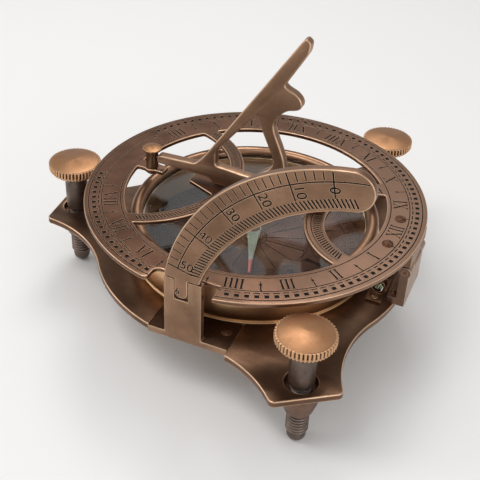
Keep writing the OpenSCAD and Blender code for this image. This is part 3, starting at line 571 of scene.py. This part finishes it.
# Every second degree has a short bar down to the line, and every tenth a long one through it
long_reach, short_gap, rim_gap = 5.1, 0.5, 0.5
long_w, short_w = 0.5, 0.42
degree_bars = []
for fifths in range(26):
    ten, fifth = divmod(fifths, 5)
    angle = degree_marks[ten]
    if fifth:
        angle += (degree_marks[ten + 1] - angle) * fifth / 5
    outer = on_circle(angle, outer_x, outer_z, outer_r - rim_gap)
    inner = on_circle(angle, line_x, line_z, line_r + (short_gap if fifth else -long_reach))
    degree_bars.append(bar(outer.x, outer.y, inner.x, inner.y, short_w if fifth else long_w))
rope_bars = []
rope_pitch, rope_lean, rope_bar_w = 1.2, 0.5, 0.56
rope_low, rope_middle, rope_high = inner_r + 1.0, inner_r + 2.5, inner_r + 4.0
rope_start, rope_end = 101.6, 161.5
for step in range(int(math.radians(rope_end - rope_start) * rope_middle / rope_pitch)):
    turn = math.radians(rope_start) + step * rope_pitch / rope_middle
    lean = rope_lean / rope_middle
    start = Vector((math.cos(turn - lean), math.sin(turn - lean))) * rope_low
    end = Vector((math.cos(turn + lean), math.sin(turn + lean))) * rope_high
    rope_bars.append(bar(inner_x + start.x, inner_z + start.y, inner_x + end.x, inner_z + end.y, rope_bar_w))
past_zero = 9.4
line_start = angle_at(*on_circle(degree_marks[0] - past_zero, line_x, line_z, line_r), line_x, line_z)
line_end = angle_at(*on_circle(degree_marks[5], line_x, line_z, line_r), line_x, line_z)


struck_depth = 0.18
capital_share = 0.72


def struck(text, place, turn, height, bold=0.04):
    """Strikes a number in the built-in letter shape into the arc, centred on its place."""
    bpy.ops.object.text_add()
    number = bpy.context.object
    number.data.body = text
    number.data.size = height / capital_share
    number.data.align_x = "CENTER"
    number.data.align_y = "CENTER"
    number.data.extrude = struck_depth
    number.data.offset = bold
    number.data.resolution_u = 4
    bpy.ops.object.convert(target="MESH")
    closed_up(number)
    number.data.materials.append(black_filling)
    moved(number, (place[0], place[1], arc_t / 2), (0, 0, turn))
    joined("DIFFERENCE", latitude_plate, number)


number_h, number_drop, number_step = 3.2, 2.6, 2.2
for ten, mark in enumerate(degree_marks):
    place = on_circle(mark, line_x, line_z, line_r - number_drop)
    beside = Vector((math.sin(math.radians(mark)), -math.cos(math.radians(mark))))
    beside *= number_step if ten else 0
    # The built-in 4 closes up when it is drawn bold
    struck(str(ten * 10), place + beside, mark + 180, number_h, 0.0 if ten == 4 else 0.04)
struck("6", (tang_x - 1.2, fold_z + 0.4), 0, 2.4)
degree_line = ring_line(line_x, line_z, line_r, short_w, line_start, line_end)
etched(latitude_plate, "degree_bars", degree_bars, arc_t / 2, 0.2)
etched(latitude_plate, "rope_bars", rope_bars, arc_t / 2, 0.19)
etched(latitude_plate, "degree_line", degree_line, arc_t / 2, 0.17)
moved(latitude_plate, (0, -arc_face + arc_t / 2, 0), (90, 0, 0))
settled(latitude_plate, "arc_leaf", "aged_brass", "latitude_arc")


# Gnomon. A flat cast leaf of 3.4 mm brass, cut out inside, with a sloping style and a curled
# thumb piece. It turns on two pins between posts, so it folds down on the ring.
gnomon_t, gnomon_edge = 3.4, 0.42
style = 62.0
axis_z = ring_top + 4.5
arm_half = 1.6
bar_top = axis_z + 2.4
gnomon_low = ring_top + 0.7
south_end, north_end = -38.4, 20.55


def style_point(across, up):
    """A point of the leaf as shares of the style's height."""
    return (style * across, ring_top + style * up)


leaf_corner, window_corner, bend_angle = 1.3, 1.2, 8
leaf_outline = eased([
    (south_end, axis_z - arm_half), (south_end, axis_z + arm_half),
    (-0.379 * style, axis_z + arm_half + 0.6),
    *[style_point(across, up) for across, up in (
        (-0.345, 0.142), (-0.323, 0.168), (0.213, 0.984), (0.229, 1), (0.258, 0.981), (0.252, 0.926),
        (0.132, 0.719), (0.155, 0.703), (0.200, 0.685), (0.229, 0.658), (0.239, 0.627), (0.226, 0.602),
        (0.200, 0.590), (0.163, 0.582), (0.132, 0.558), (0.110, 0.534), (0.085, 0.479), (0.094, 0.432),
        (0.129, 0.355), (0.156, 0.287), (0.169, 0.219))],
    (0.197 * style, bar_top + 0.9), (north_end, bar_top), (north_end, gnomon_low),
    (-0.263 * style, gnomon_low), (-0.284 * style, axis_z - arm_half - 0.3),
    (-0.5 * style, axis_z - arm_half),
], leaf_corner, bend_angle)
window_outline = eased([
    style_point(-0.015, 0.515), style_point(-0.250, 0.221), (-0.248 * style, bar_top + 1.2),
    (-0.018 * style, bar_top),
    *[style_point(across, up) for across, up in (
        (0.027, 0.160), (0.074, 0.194), (0.095, 0.226), (0.098, 0.271), (0.065, 0.337), (0.039, 0.394))],
], window_corner, bend_angle)
gnomon_leaf = sheet("gnomon_leaf", [leaf_outline, window_outline], gnomon_t, gnomon_edge)
finished(gnomon_leaf, aged_copper)
moved(gnomon_leaf, (0, 0, 0), (90, 0, 0))
settled(gnomon_leaf, "gnomon_leaf", "aged_brass", "gnomon")


# Base plate. A cast plate with three ears, filed flat and tumbled, so its edges are soft. The
# arc's bracket is let into its near edge, and the three screws pass through holes in the ears.
plate_top = levels("base_plate")[1]
plate_r, plate_edge = 56.7, 0.35
bowl_hole_r = 24.1
screw_reach = 70.7
ear_reach, ear_w, flank_r, ear_corner_r = 78.0, 22.8, 40.2, 2.0
ear_turn = 5.0
ear_turns = {"near": -60 + ear_turn, "south": 180 + ear_turn, "far": 60 + ear_turn}
ear_hole_r = 5.4
flank_y = ear_w / 2 + flank_r
flank_x = math.sqrt((plate_r + flank_r) ** 2 - flank_y ** 2)
corner_x = ear_reach - ear_corner_r
corner_y = flank_y - math.sqrt((flank_r + ear_corner_r) ** 2 - (flank_x - corner_x) ** 2)
flank_end = 360 + math.degrees(math.atan2(corner_y - flank_y, corner_x - flank_x))
flank_start = 180 + math.degrees(math.atan2(flank_y, flank_x))
ear_half = (arc_run(corner_x, corner_y, ear_corner_r, 0, flank_end - 180)
            + arc_run(flank_x, flank_y, flank_r, flank_end, flank_start)[1:])
bulge_start = flank_start - 180
third = ([(x, -y) for x, y in reversed(ear_half)] + ear_half
         + arc_run(0, 0, plate_r, bulge_start, 120 - bulge_start)[1:-1])
plate_outline = []
for name in ("near", "far", "south"):
    turn = math.radians(ear_turns[name])
    plate_outline += [(x * math.cos(turn) - y * math.sin(turn), x * math.sin(turn) + y * math.cos(turn))
                      for x, y in third]
ear_spots = {name: (screw_reach * math.cos(math.radians(t)), screw_reach * math.sin(math.radians(t)))
             for name, t in ear_turns.items()}
ear_holes = [full_circle(x, y, ear_hole_r, 0.5) for x, y in ear_spots.values()]
# Darker and redder than the ring, since hands and cloths seldom reach the plate
plate_brass = worn_metal("tumbled_cast_brass", "#7d5f4b", "#402e24", "#e4c2a2", 0.38, blotch=16, cover=0.7)
plate_holes = [*ear_holes, full_circle(0, 0, bowl_hole_r)]
cast_plate = sheet("cast_plate", [plate_outline, *plate_holes], plate_top, plate_edge)
finished(cast_plate, plate_brass)
foot_south, foot_w, foot_d = -14.0, 28.5, 5.0
foot_north, foot_back = foot_south + foot_w, foot_d - arc_face
lap_low = plate_top / 2
lap_back = -41.4
seat_gap = 0.1


def block(name, low, high, metal):
    """A rectangular block between two corners, in millimetres."""
    bpy.ops.mesh.primitive_cube_add(size=1)
    shape = bpy.context.object
    shape.name = name
    shape.scale = [b - a for a, b in zip(low, high)]
    shape.data.materials.append(metal)
    return moved(shape, [(a + b) / 2 for a, b in zip(low, high)])


moved(cast_plate, (0, 0, plate_top / 2))
joined("DIFFERENCE", cast_plate, block(
    "seat_cut", (foot_south - seat_gap, -arc_face - 5, -1), (foot_north + seat_gap, foot_back + seat_gap, 4),
    plate_brass))
joined("DIFFERENCE", cast_plate, block(
    "lap_cut", (foot_south - seat_gap, foot_back - 1, lap_low), (foot_north + seat_gap, lap_back, 4),
    plate_brass))
settled(cast_plate, "base", "aged_brass", "base_plate")


# Arc bracket. One piece of brass with a foot let flush into the plate and a strip that stands up
# past the ring, slotted at the top for the arc's tang.
strip_south, strip_w = -7.9, 13.0
strip_top = shoulder_z - 0.45
slot_half = 2.4
slot_low = fold_z - 3.1


def softened(piece, width, segments, angle):
    """Breaks the edges of a piece that are sharper than an angle, as a file does."""
    soft = piece.modifiers.new("soft_edge", "BEVEL")
    soft.width = width
    soft.segments = segments
    soft.limit_method = "ANGLE"
    soft.angle_limit = math.radians(angle)
    bpy.ops.object.modifier_apply(modifier=soft.name)


strip_back = arc_t - arc_face
arc_stand = block("arc_stand", (strip_south, -arc_face, 0), (strip_south + strip_w, strip_back, strip_top),
                  aged_copper)
joined("DIFFERENCE", arc_stand, block(
    "slot_cut", (tang_x - slot_half, -arc_face - 1, slot_low), (tang_x + slot_half, strip_back + 1, 40),
    aged_copper))
joined("UNION", arc_stand, block(
    "stand_foot", (foot_south, -arc_face, 0), (foot_north, foot_back, plate_top), aged_copper))
joined("UNION", arc_stand, block(
    "stand_lap", (foot_south, foot_back - 1, lap_low + 0.05), (foot_north, lap_back - seat_gap, plate_top),
    aged_copper))
bpy.context.view_layer.objects.active = arc_stand
bpy.ops.object.mode_set(mode="EDIT")
bpy.ops.mesh.select_all(action="SELECT")
bpy.ops.mesh.dissolve_limited(angle_limit=math.radians(2))
bpy.ops.object.mode_set(mode="OBJECT")
softened(arc_stand, 0.3, 3, 40)
# Painted shade: the foot's top behind the strip is painted near black, for the dark it reflects there
foot_shade_brass = worn_metal("painted_shade_foot_brass", "#4a3427", "#1d1410", "#7d5f4b", 0.5, blotch=4)
arc_stand.data.materials.append(foot_shade_brass)
for face in arc_stand.data.polygons:
    if face.normal.z > 0.9 and face.center.z < plate_top + 0.1 and face.center.y > strip_back:
        face.material_index = len(arc_stand.data.materials) - 1
settled(arc_stand, "base", "aged_brass", "arc_bracket")


# Compass bowl and bezel. The bowl is turned from thick brass with a belly over its foot, and the
# rounded bezel is pressed over the glass. Both are polished, so they carry the lathe's sheen.
bowl_outer_r, bowl_rim_r, bowl_inner_r, bowl_seat_r = 45.0, 44.0, 39.4, 41.2
bowl_plug_r, bowl_foot_r, foot_step = 24, 43.7, 0.45
bowl_top = levels("compass_bowl")[1]
bowl_floor = plate_top + 2.5
seat_z = bowl_top - 1.4
bezel_r, bezel_open_r = 44.1, 39.7
bezel_top = levels("bowl_bezel")[1]
gasket_t, glass_t = 0.6, 1.4
lip_z = seat_z + gasket_t + glass_t


def turned_piece(name, profile, metal, edge=0.0, steps=128):
    """A solid of revolution round the Z axis from half of its section, with its corners rounded."""
    piece = drawn(name, [[(r, 0, z) for r, z in profile]], closed=False, dimensions="3D")
    bpy.ops.object.mode_set(mode="EDIT")
    bpy.ops.mesh.select_all(action="SELECT")
    bpy.ops.mesh.remove_doubles(threshold=doubled_gap)
    bpy.ops.mesh.select_all(action="SELECT")
    bpy.ops.mesh.spin(steps=steps, angle=math.tau, center=(0, 0, 0), axis=(0, 0, 1))
    bpy.ops.object.mode_set(mode="OBJECT")
    closed_up(piece)
    if edge:
        softened(piece, edge, 2, 35)
    piece.data.materials.append(metal)
    return piece


def from_axis(tree, centre):
    """A socket with each place as it is seen from a piece's own upright axis."""
    place = add_node(tree, "TexCoord", {}).outputs["Object"]
    return add_node(tree, "Mapping", {0: place, 1: (-centre[0] * MM, -centre[1] * MM, 0)}).outputs[0]


def turned_metal(name, body, patina, worn, rough, centre=(0, 0)):
    """Metal turned on a lathe: fine rings round its own axis stretch every reflection."""
    metal = worn_metal(name, body, patina, worn, rough, cover=0.35)
    tree = metal.node_tree
    shader = tree.nodes["Principled BSDF"]
    across = add_node(tree, "VectorMath", {
        0: (0, 0, 1), 1: from_axis(tree, centre)}, operation="CROSS_PRODUCT")
    along = add_node(tree, "VectorMath", {0: across.outputs[0]}, operation="NORMALIZE")
    tree.links.new(along.outputs[0], shader.inputs["Tangent"])
    shader.inputs["Anisotropic"].default_value = 0.5
    return metal


# Warm and bright where the wheel reached, with brown left in the hollows
polished_bowl_brass = turned_metal("polished_turned_brass", "#dab288", "#a57e5a", "#f0d2aa", 0.33)
belly_r, belly_z = 2.6, plate_top + 6.6
belly_drop, belly_rise = 5.9, 9.5
belly = [(bowl_outer_r - belly_r + belly_r * math.cos(math.radians(a)),
          belly_z + (belly_drop if a < 0 else belly_rise) * math.sin(math.radians(a)))
         for a in range(-80, 51, 10)]
bowl_profile = [
    (0, 0), (bowl_plug_r, 0), (bowl_plug_r, plate_top), (bowl_foot_r, plate_top),
    (bowl_foot_r, plate_top + foot_step), *belly, (bowl_rim_r, bowl_top), (bowl_seat_r, bowl_top),
    (bowl_seat_r, seat_z), (bowl_inner_r, seat_z), (bowl_inner_r, bowl_floor), (0, bowl_floor)]
turned_bowl = turned_piece("turned_bowl", bowl_profile, polished_bowl_brass, 0.18, steps=180)
settled(turned_bowl, "base", "polished_brass", "compass_bowl")
crown_mid = (bezel_r + bezel_open_r) / 2
crown_half = (bezel_r - bezel_open_r) / 2
crown_z = lip_z + 0.5
crown = [(crown_mid + crown_half * math.cos(math.radians(a)),
          crown_z + (bezel_top - crown_z) * math.sin(math.radians(a))) for a in range(0, 181, 10)]
bezel_profile = [(bowl_seat_r, bowl_top), (bezel_r, bowl_top), *crown, (bezel_open_r, lip_z),
                 (bowl_seat_r, lip_z), (bowl_seat_r, bowl_top)]
# Browner than the bowl, because a pressed ring is polished less
bezel_brass = turned_metal("pressed_bezel_brass", "#a58065", "#654939", "#dcb594", 0.34)
pressed_bezel = turned_piece("pressed_bezel", bezel_profile, bezel_brass, steps=180)
settled(pressed_bezel, "base", "polished_brass", "bowl_bezel")


# Compass card. A thin brass disc etched with a plain wind rose: rays from the hub, a double
# circle and a scale of degrees round the edge. It lies on the bowl's floor under the glass.
card_r, card_edge = 39.2, 0.06
card_low, card_top = levels("compass_card")
card_t = card_top - card_low
# Dull brown brass that nobody has touched since the glass went on
card_brass = worn_metal(
    "etched_card_brass", "#5c4237", "#32231d", "#84675a", 0.5, blotch=15, cover=0.6, dent=0.1)
# Painted shade: the south side, which the ring's south crescent shades, is painted near black
card_tree = card_brass.node_tree
card_place = add_node(card_tree, "TexCoord", {}).outputs["Object"]
card_cloud = add_node(card_tree, "TexNoise", {"Vector": card_place, "Scale": 1 / (12 * MM), "Detail": 3})
card_side = add_node(card_tree, "SeparateXYZ", {0: card_place})
southward = add_node(card_tree, "Math", {
    0: card_cloud.outputs[0], 1: 8 * MM, 2: card_side.outputs["X"]}, operation="MULTIPLY_ADD")
painted_south_shade = add_node(card_tree, "MapRange", {0: southward.outputs[0], 1: -4 * MM, 2: -16 * MM, 3: 0.0, 4: 0.85})
spread(card_brass, painted_south_shade.outputs[0], "#171413")
rose_card = sheet("rose_card", [full_circle(0, 0, card_r)], card_t, card_edge)
rose_card.data.materials.append(card_brass)


def ray(turn, start, end, width_in, width_out):
    """A ray from one radius to another, wider or narrower at its ends."""
    along = Vector((math.cos(turn), math.sin(turn)))
    side = Vector((-along.y, along.x))
    return [tuple(along * start - side * width_in / 2), tuple(along * end - side * width_out / 2),
            tuple(along * end + side * width_out / 2), tuple(along * start + side * width_in / 2)]


points_round, degrees_round = 16, 72
ray_from, ray_to = 5.6, 19.6
tick_from, tick_to, long_tick_to, tick_w = 34.6, 36.6, 37.6, 0.3
dart_from, dart_to = 22.2, 30.5
card_rays = []
for step in range(points_round):
    card_rays.append(ray(math.tau * step / points_round, ray_from, ray_to, 0.4, 0.7))
for step in range(degrees_round):
    reach = tick_to if step % 3 else long_tick_to
    card_rays.append(ray(math.tau * step / degrees_round, tick_from, reach, tick_w, tick_w))
for step in range(points_round):
    card_rays.append(ray(math.tau * (step + 0.5) / points_round, dart_from, dart_to, 2.4, 0.3))
etched(rose_card, "card_rays", card_rays, card_t / 2, 0.12)
card_lines = []
for radius, width in ((4.9, 0.35), (20.2, 0.4), (21.3, 0.25), (33.6, 0.35)):
    card_lines += ring_line(0, 0, radius, width)
etched(rose_card, "card_lines", card_lines, card_t / 2, 0.1)
moved(rose_card, (0, 0, (card_low + card_top) / 2))
settled(rose_card, "base", "card_brass", "compass_card")


# Needle. A thin steel blade that swings on a pivot in the middle of the card. It is enamelled grey
# green, and red near its north end. Its brass cap is pressed in the middle.
needle_low, needle_top = levels("needle")
needle_t = needle_top - needle_low
needle_reach, needle_w, needle_hole_r = 26.0, 5.2, 1.3
needle_turn = -71.0
red_from, red_to = 19.2, 19.6
slim_x, slim_half_w, tip_half_w = needle_reach * 0.62, needle_w / 6, 0.4
blade_outline = eased([
    (-needle_reach, 0), (0, -needle_w / 2), (slim_x, -slim_half_w), (needle_reach, -tip_half_w),
    (needle_reach, tip_half_w), (slim_x, slim_half_w), (0, needle_w / 2)], 0.3)
blade_hole = full_circle(0, 0, needle_hole_r, 0.3)
painted_blade = sheet("painted_blade", [blade_outline, blade_hole], needle_t, 0.1)
# Brushed enamel: smooth enough for a soft shine, and a little streaky
needle_paint, paint_tree = new_finish("needle_enamel", "#8f9a88", 0.35)[:2]
paint_place = add_node(paint_tree, "TexCoord", {}).outputs["Object"]
lengthways = add_node(paint_tree, "VectorMath", {
    0: paint_place, 1: (math.cos(math.radians(needle_turn)), math.sin(math.radians(needle_turn)), 0),
}, operation="DOT_PRODUCT")
brushwork = add_node(paint_tree, "TexNoise", {"Vector": paint_place, "Scale": 1 / (1.5 * MM), "Detail": 3})
wavy = add_node(paint_tree, "Math", {0: brushwork.outputs[0], 1: 1.2 * MM, 2: lengthways.outputs[1]},
                operation="MULTIPLY_ADD")
red_end = add_node(paint_tree, "MapRange", {
    0: wavy.outputs[0], 1: red_from * MM, 2: red_to * MM, 3: 0.0, 4: 1.0})
spread(needle_paint, brushwork.outputs[0], "#6a7469")
spread(needle_paint, red_end.outputs[0], "#a3362a")
painted_blade.data.materials.append(needle_paint)
moved(painted_blade, (0, 0, needle_low + needle_t / 2), (0, 0, needle_turn))
settled(painted_blade, "compass_needle", "needle_paint", "needle")


# Levelling screws. Each is a bronze stem with a coarse thread, drawn as rings of its pitch, and a
# milled knob pressed on its neck. The knob's low cone is turned bright, and its edge has two rows.
knob_r, knob_h, knob_teeth = 9.6, 3.8, 46
lower_step, row_split = 0.75, 1.25
upper_tooth, lower_tooth = 0.6, 0.5
knob_low, knob_top = levels("near_knob")
cone_foot, cone_top = knob_low + 0.5, knob_low + knob_h
tip_z, neck_top = levels("near_stem")
neck_r, neck_low = 2.2, knob_low - 0.1
stem_r, thread_r, thread_depth, thread_pitch = 4.2, 3.7, 0.55, 1.25
root_r = thread_r - thread_depth
shoulder = plate_top + 0.4
tip_h = 2.6


def milled(radius, depth, low, high, teeth, name):
    """A disc with rounded teeth round its edge."""
    outline = []
    points = teeth * 8
    for i in range(points):
        turn = math.tau * i / points
        wave = abs(math.cos(turn * teeth / 2)) ** 0.7
        reach = radius - depth * (1 - wave)
        outline.append((reach * math.cos(turn), reach * math.sin(turn)))
    return moved(sheet(name, [outline], high - low, 0.16), (0, 0, (low + high) / 2))


def knob_brass(name, centre):
    """The lathe's rings round the knob's own axis, golden on top and browner down the edge."""
    return turned_metal(name, "#b48560", "#78533b", "#ecc9a4", 0.38, centre=centre)


def milled_gap_shaded_brass(name, centre):
    """The milled edge: bright on the tips of the teeth, and black between them, partly old polish and partly
    painted shade.
    """
    metal = knob_brass(name, centre)
    tree = metal.node_tree
    shader = tree.nodes["Principled BSDF"]
    centred = from_axis(tree, centre)
    flat = add_node(tree, "VectorMath", {0: centred, 1: (1, 1, 0)}, operation="MULTIPLY")
    reach = add_node(tree, "VectorMath", {0: flat.outputs[0]}, operation="LENGTH")
    height = add_node(tree, "SeparateXYZ", {0: centred})
    upper = add_node(tree, "Math", {
        0: height.outputs["Z"], 1: (knob_low + row_split) * MM}, operation="GREATER_THAN")
    shift = add_node(tree, "Math", {0: upper.outputs[0], 1: -lower_step * MM, 2: reach.outputs[1]},
                     operation="MULTIPLY_ADD")
    lower_r = knob_r - lower_step
    tips = add_node(tree, "MapRange", {
        0: shift.outputs[0], 1: (lower_r - lower_tooth) * MM, 2: lower_r * MM, 3: 0.0, 4: 1.0})
    # Painted shade over the old polish: the gaps between the teeth go near black
    teeth = add_node(tree, "Mix", {
        0: tips.outputs[0], 6: hex_colour("#3a2518"), 7: hex_colour("#dcae86")}, data_type="RGBA")
    tree.links.new(teeth.outputs[2], shader.inputs["Base Color"])
    return metal


# Bare bronze gone grey with oil, so it looks dull beside the knobs
stem_bronze = worn_metal("dull_screw_bronze", "#7b6c64", "#463b36", "#b3a195", 0.42, blotch=4, cover=0.6)
threads = []
for i in range(int((shoulder - tip_z - 5) / thread_pitch)):
    top = shoulder - 1 - i * thread_pitch
    threads += [(thread_r, top - 0.16), (thread_r, top - 0.36), (root_r, top - 0.72), (root_r, top - 1.05)]
tip = [(root_r * math.cos(math.radians(a)), tip_z + tip_h - tip_h * math.sin(math.radians(a)))
       for a in range(0, 90, 15)]
stem_profile = [
    (0, neck_top), (neck_r, neck_top), (neck_r, neck_low), (stem_r - 0.2, neck_low), (stem_r, neck_low - 0.4),
    (stem_r, shoulder), (root_r, shoulder - 1), *threads, *tip, (0, tip_z)]
cone_profile = [
    (0, cone_foot), (knob_r - 0.8, cone_foot), (knob_r - 0.55, cone_top - 0.35),
    (knob_r - 0.9, cone_top + 0.02), (0.5, knob_top - 0.02), (0, knob_top)]
for name, spot in ear_spots.items():
    metal = knob_brass(name + "_knob_turned_brass", spot)
    knob = milled(knob_r, upper_tooth, knob_low + 1.2, cone_top - 0.1, knob_teeth, name + "_milled_knob")
    lower_row = milled(
        knob_r - lower_step, lower_tooth, knob_low + 0.1, knob_low + 1.3, knob_teeth, "lower_row")
    cone = turned_piece("cone", cone_profile, metal, 0.12)
    for shape in (knob, lower_row):
        shape.data.materials.append(metal)
    joined("UNION", knob, lower_row)
    joined("UNION", knob, cone)
    knob.data.materials.append(milled_gap_shaded_brass(name + "_knob_milled_brass", spot))
    for face in knob.data.polygons:
        if abs(face.normal.z) < 0.7 and math.hypot(face.center.x, face.center.y) > knob_r - 1.6:
            face.material_index = len(knob.data.materials) - 1
    moved(knob, (*spot, 0), (0, 0, ear_turns[name]))
    settled(knob, name + "_grip", "polished_brass", name + "_knob")

    stem = turned_piece(name + "_screw_stem", stem_profile, stem_bronze, steps=64)
    moved(stem, (*spot, 0))
    settled(stem, name + "_leg", "dark_brass", name + "_stem", smooth=25)


# Small fittings that keep the shape the frame gives them: bushes, hinge, level, posts, rivets
# and screws. They are brass like the rest, only duller in the corners and brighter on the heads.
def restyle(material, *nodes):
    """Gives nodes of the frame their finish."""
    for name in nodes:
        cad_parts[name].material_slots[0].material = material


restyle(aged_copper, "hinge_lug")
# Cast and left rough, so the bushes and the cradle hardly shine
bush_brass = worn_metal("cast_bush_brass", "#86695a", "#4b382e", "#c4a28a", 0.45, blotch=6)
restyle(bush_brass, "near_bush", "south_bush", "far_bush")
cradle_brass = worn_metal("cast_cradle_brass", "#8f6c51", "#4c3628", "#d2a781", 0.4, blotch=5)
restyle(cradle_brass, "level_cradle")
# Turned and handled, so the posts and their disc have clean, bright rims
posts_brass = worn_metal("turned_post_brass", "#85664f", "#4c3629", "#d4ac8a", 0.36, blotch=5)
restyle(posts_brass, "south_gnomon_post", "north_gnomon_post", "needle_pivot")
disc_brass = turned_metal(
    "post_disc_turned_brass", "#b0835d", "#7a5539", "#e0ba92", 0.36, centre=(-south_post, 0))
restyle(disc_brass, "post_disc")
# Tumbled pins and rivets are golden. The dial's screws and the bracket's rivets are darker all over.
fastener_brass = worn_metal("tumbled_fastener_brass", "#8f6d52", "#523b2c", "#dab490", 0.36, blotch=3)
restyle(fastener_brass, "bowl_screws", "arc_pin", "upright_rivets", "hinge_pin", "level_screws",
        "gnomon_pins", "needle_cap")
tarnished_brass = worn_metal("tarnished_fastener_brass", "#6b4b3a", "#2a1c15", "#a97f62", 0.42, blotch=3)
restyle(tarnished_brass, "dial_screws", "bracket_rivets")
# The upright is painted pale for the reflection it shows, and its north face paler still, a painted highlight
upright_brass = worn_metal("pale_painted_reflection_brass", "#927565", "#5a4439", "#f0ddc8", 0.38, blotch=9)
upright_tree = upright_brass.node_tree
outward = add_node(upright_tree, "NewGeometry", {}).outputs["Normal"]
facing = add_node(upright_tree, "SeparateXYZ", {0: outward})
# Painted highlight: faces turned north are painted paler
north_face_highlight = add_node(upright_tree, "MapRange", {0: facing.outputs["X"], 1: 0.4, 2: 0.9, 3: 0.0, 4: 0.4})
spread(upright_brass, north_face_highlight.outputs[0], "#c4aa92")
restyle(upright_brass, "hinge_upright")


# Glass, gasket and spirit level. The pane is plain float glass on a black rubber ring, and the
# level is a glass tube of tinted spirit with its bubble.
def clear_glass(name, colour, ior):
    """Clear glass, faintly wavy, that lets light through to what lies under it."""
    glass, tree, shader = new_finish(name, colour, 0.0)
    shader.inputs["Transmission Weight"].default_value = 1.0
    shader.inputs["IOR"].default_value = ior
    place = add_node(tree, "TexCoord", {}).outputs["Object"]
    film = add_node(tree, "TexNoise", {"Vector": place, "Scale": 1 / (9 * MM), "Detail": 4})
    waves = add_node(tree, "Bump", {"Height": film.outputs[0], "Distance": 0.01 * MM, "Strength": 0.5})
    tree.links.new(waves.outputs[0], shader.inputs["Normal"])
    spread(glass, film.outputs[0], "#ffffff")
    path = add_node(tree, "LightPath", {})
    clear = add_node(tree, "BsdfTransparent", {"Color": (0.92, 0.92, 0.92, 1)})
    through = add_node(tree, "MixShader", {
        0: path.outputs["Is Shadow Ray"], 1: shader.outputs[0], 2: clear.outputs[0]})
    tree.links.new(through.outputs[0], tree.nodes["Material Output"].inputs["Surface"])
    return glass


restyle(clear_glass("float_glass", "#f2f6f4", 1.5), "bowl_glass")
restyle(clear_glass("level_glass", "#eef4ea", 1.47), "level_vial")
restyle(clear_glass("tinted_spirit", "#9aad5c", 1.36), "level_spirit")

rubber, rubber_tree = new_finish("black_gasket_rubber", "#1b1817", 0.75)[:2]
rubber_place = add_node(rubber_tree, "TexCoord", {}).outputs["Object"]
dust = add_node(rubber_tree, "TexNoise", {"Vector": rubber_place, "Scale": 1 / (2 * MM), "Detail": 4})
spread(rubber, dust.outputs[0], "#2c2724")
restyle(rubber, "glass_gasket")
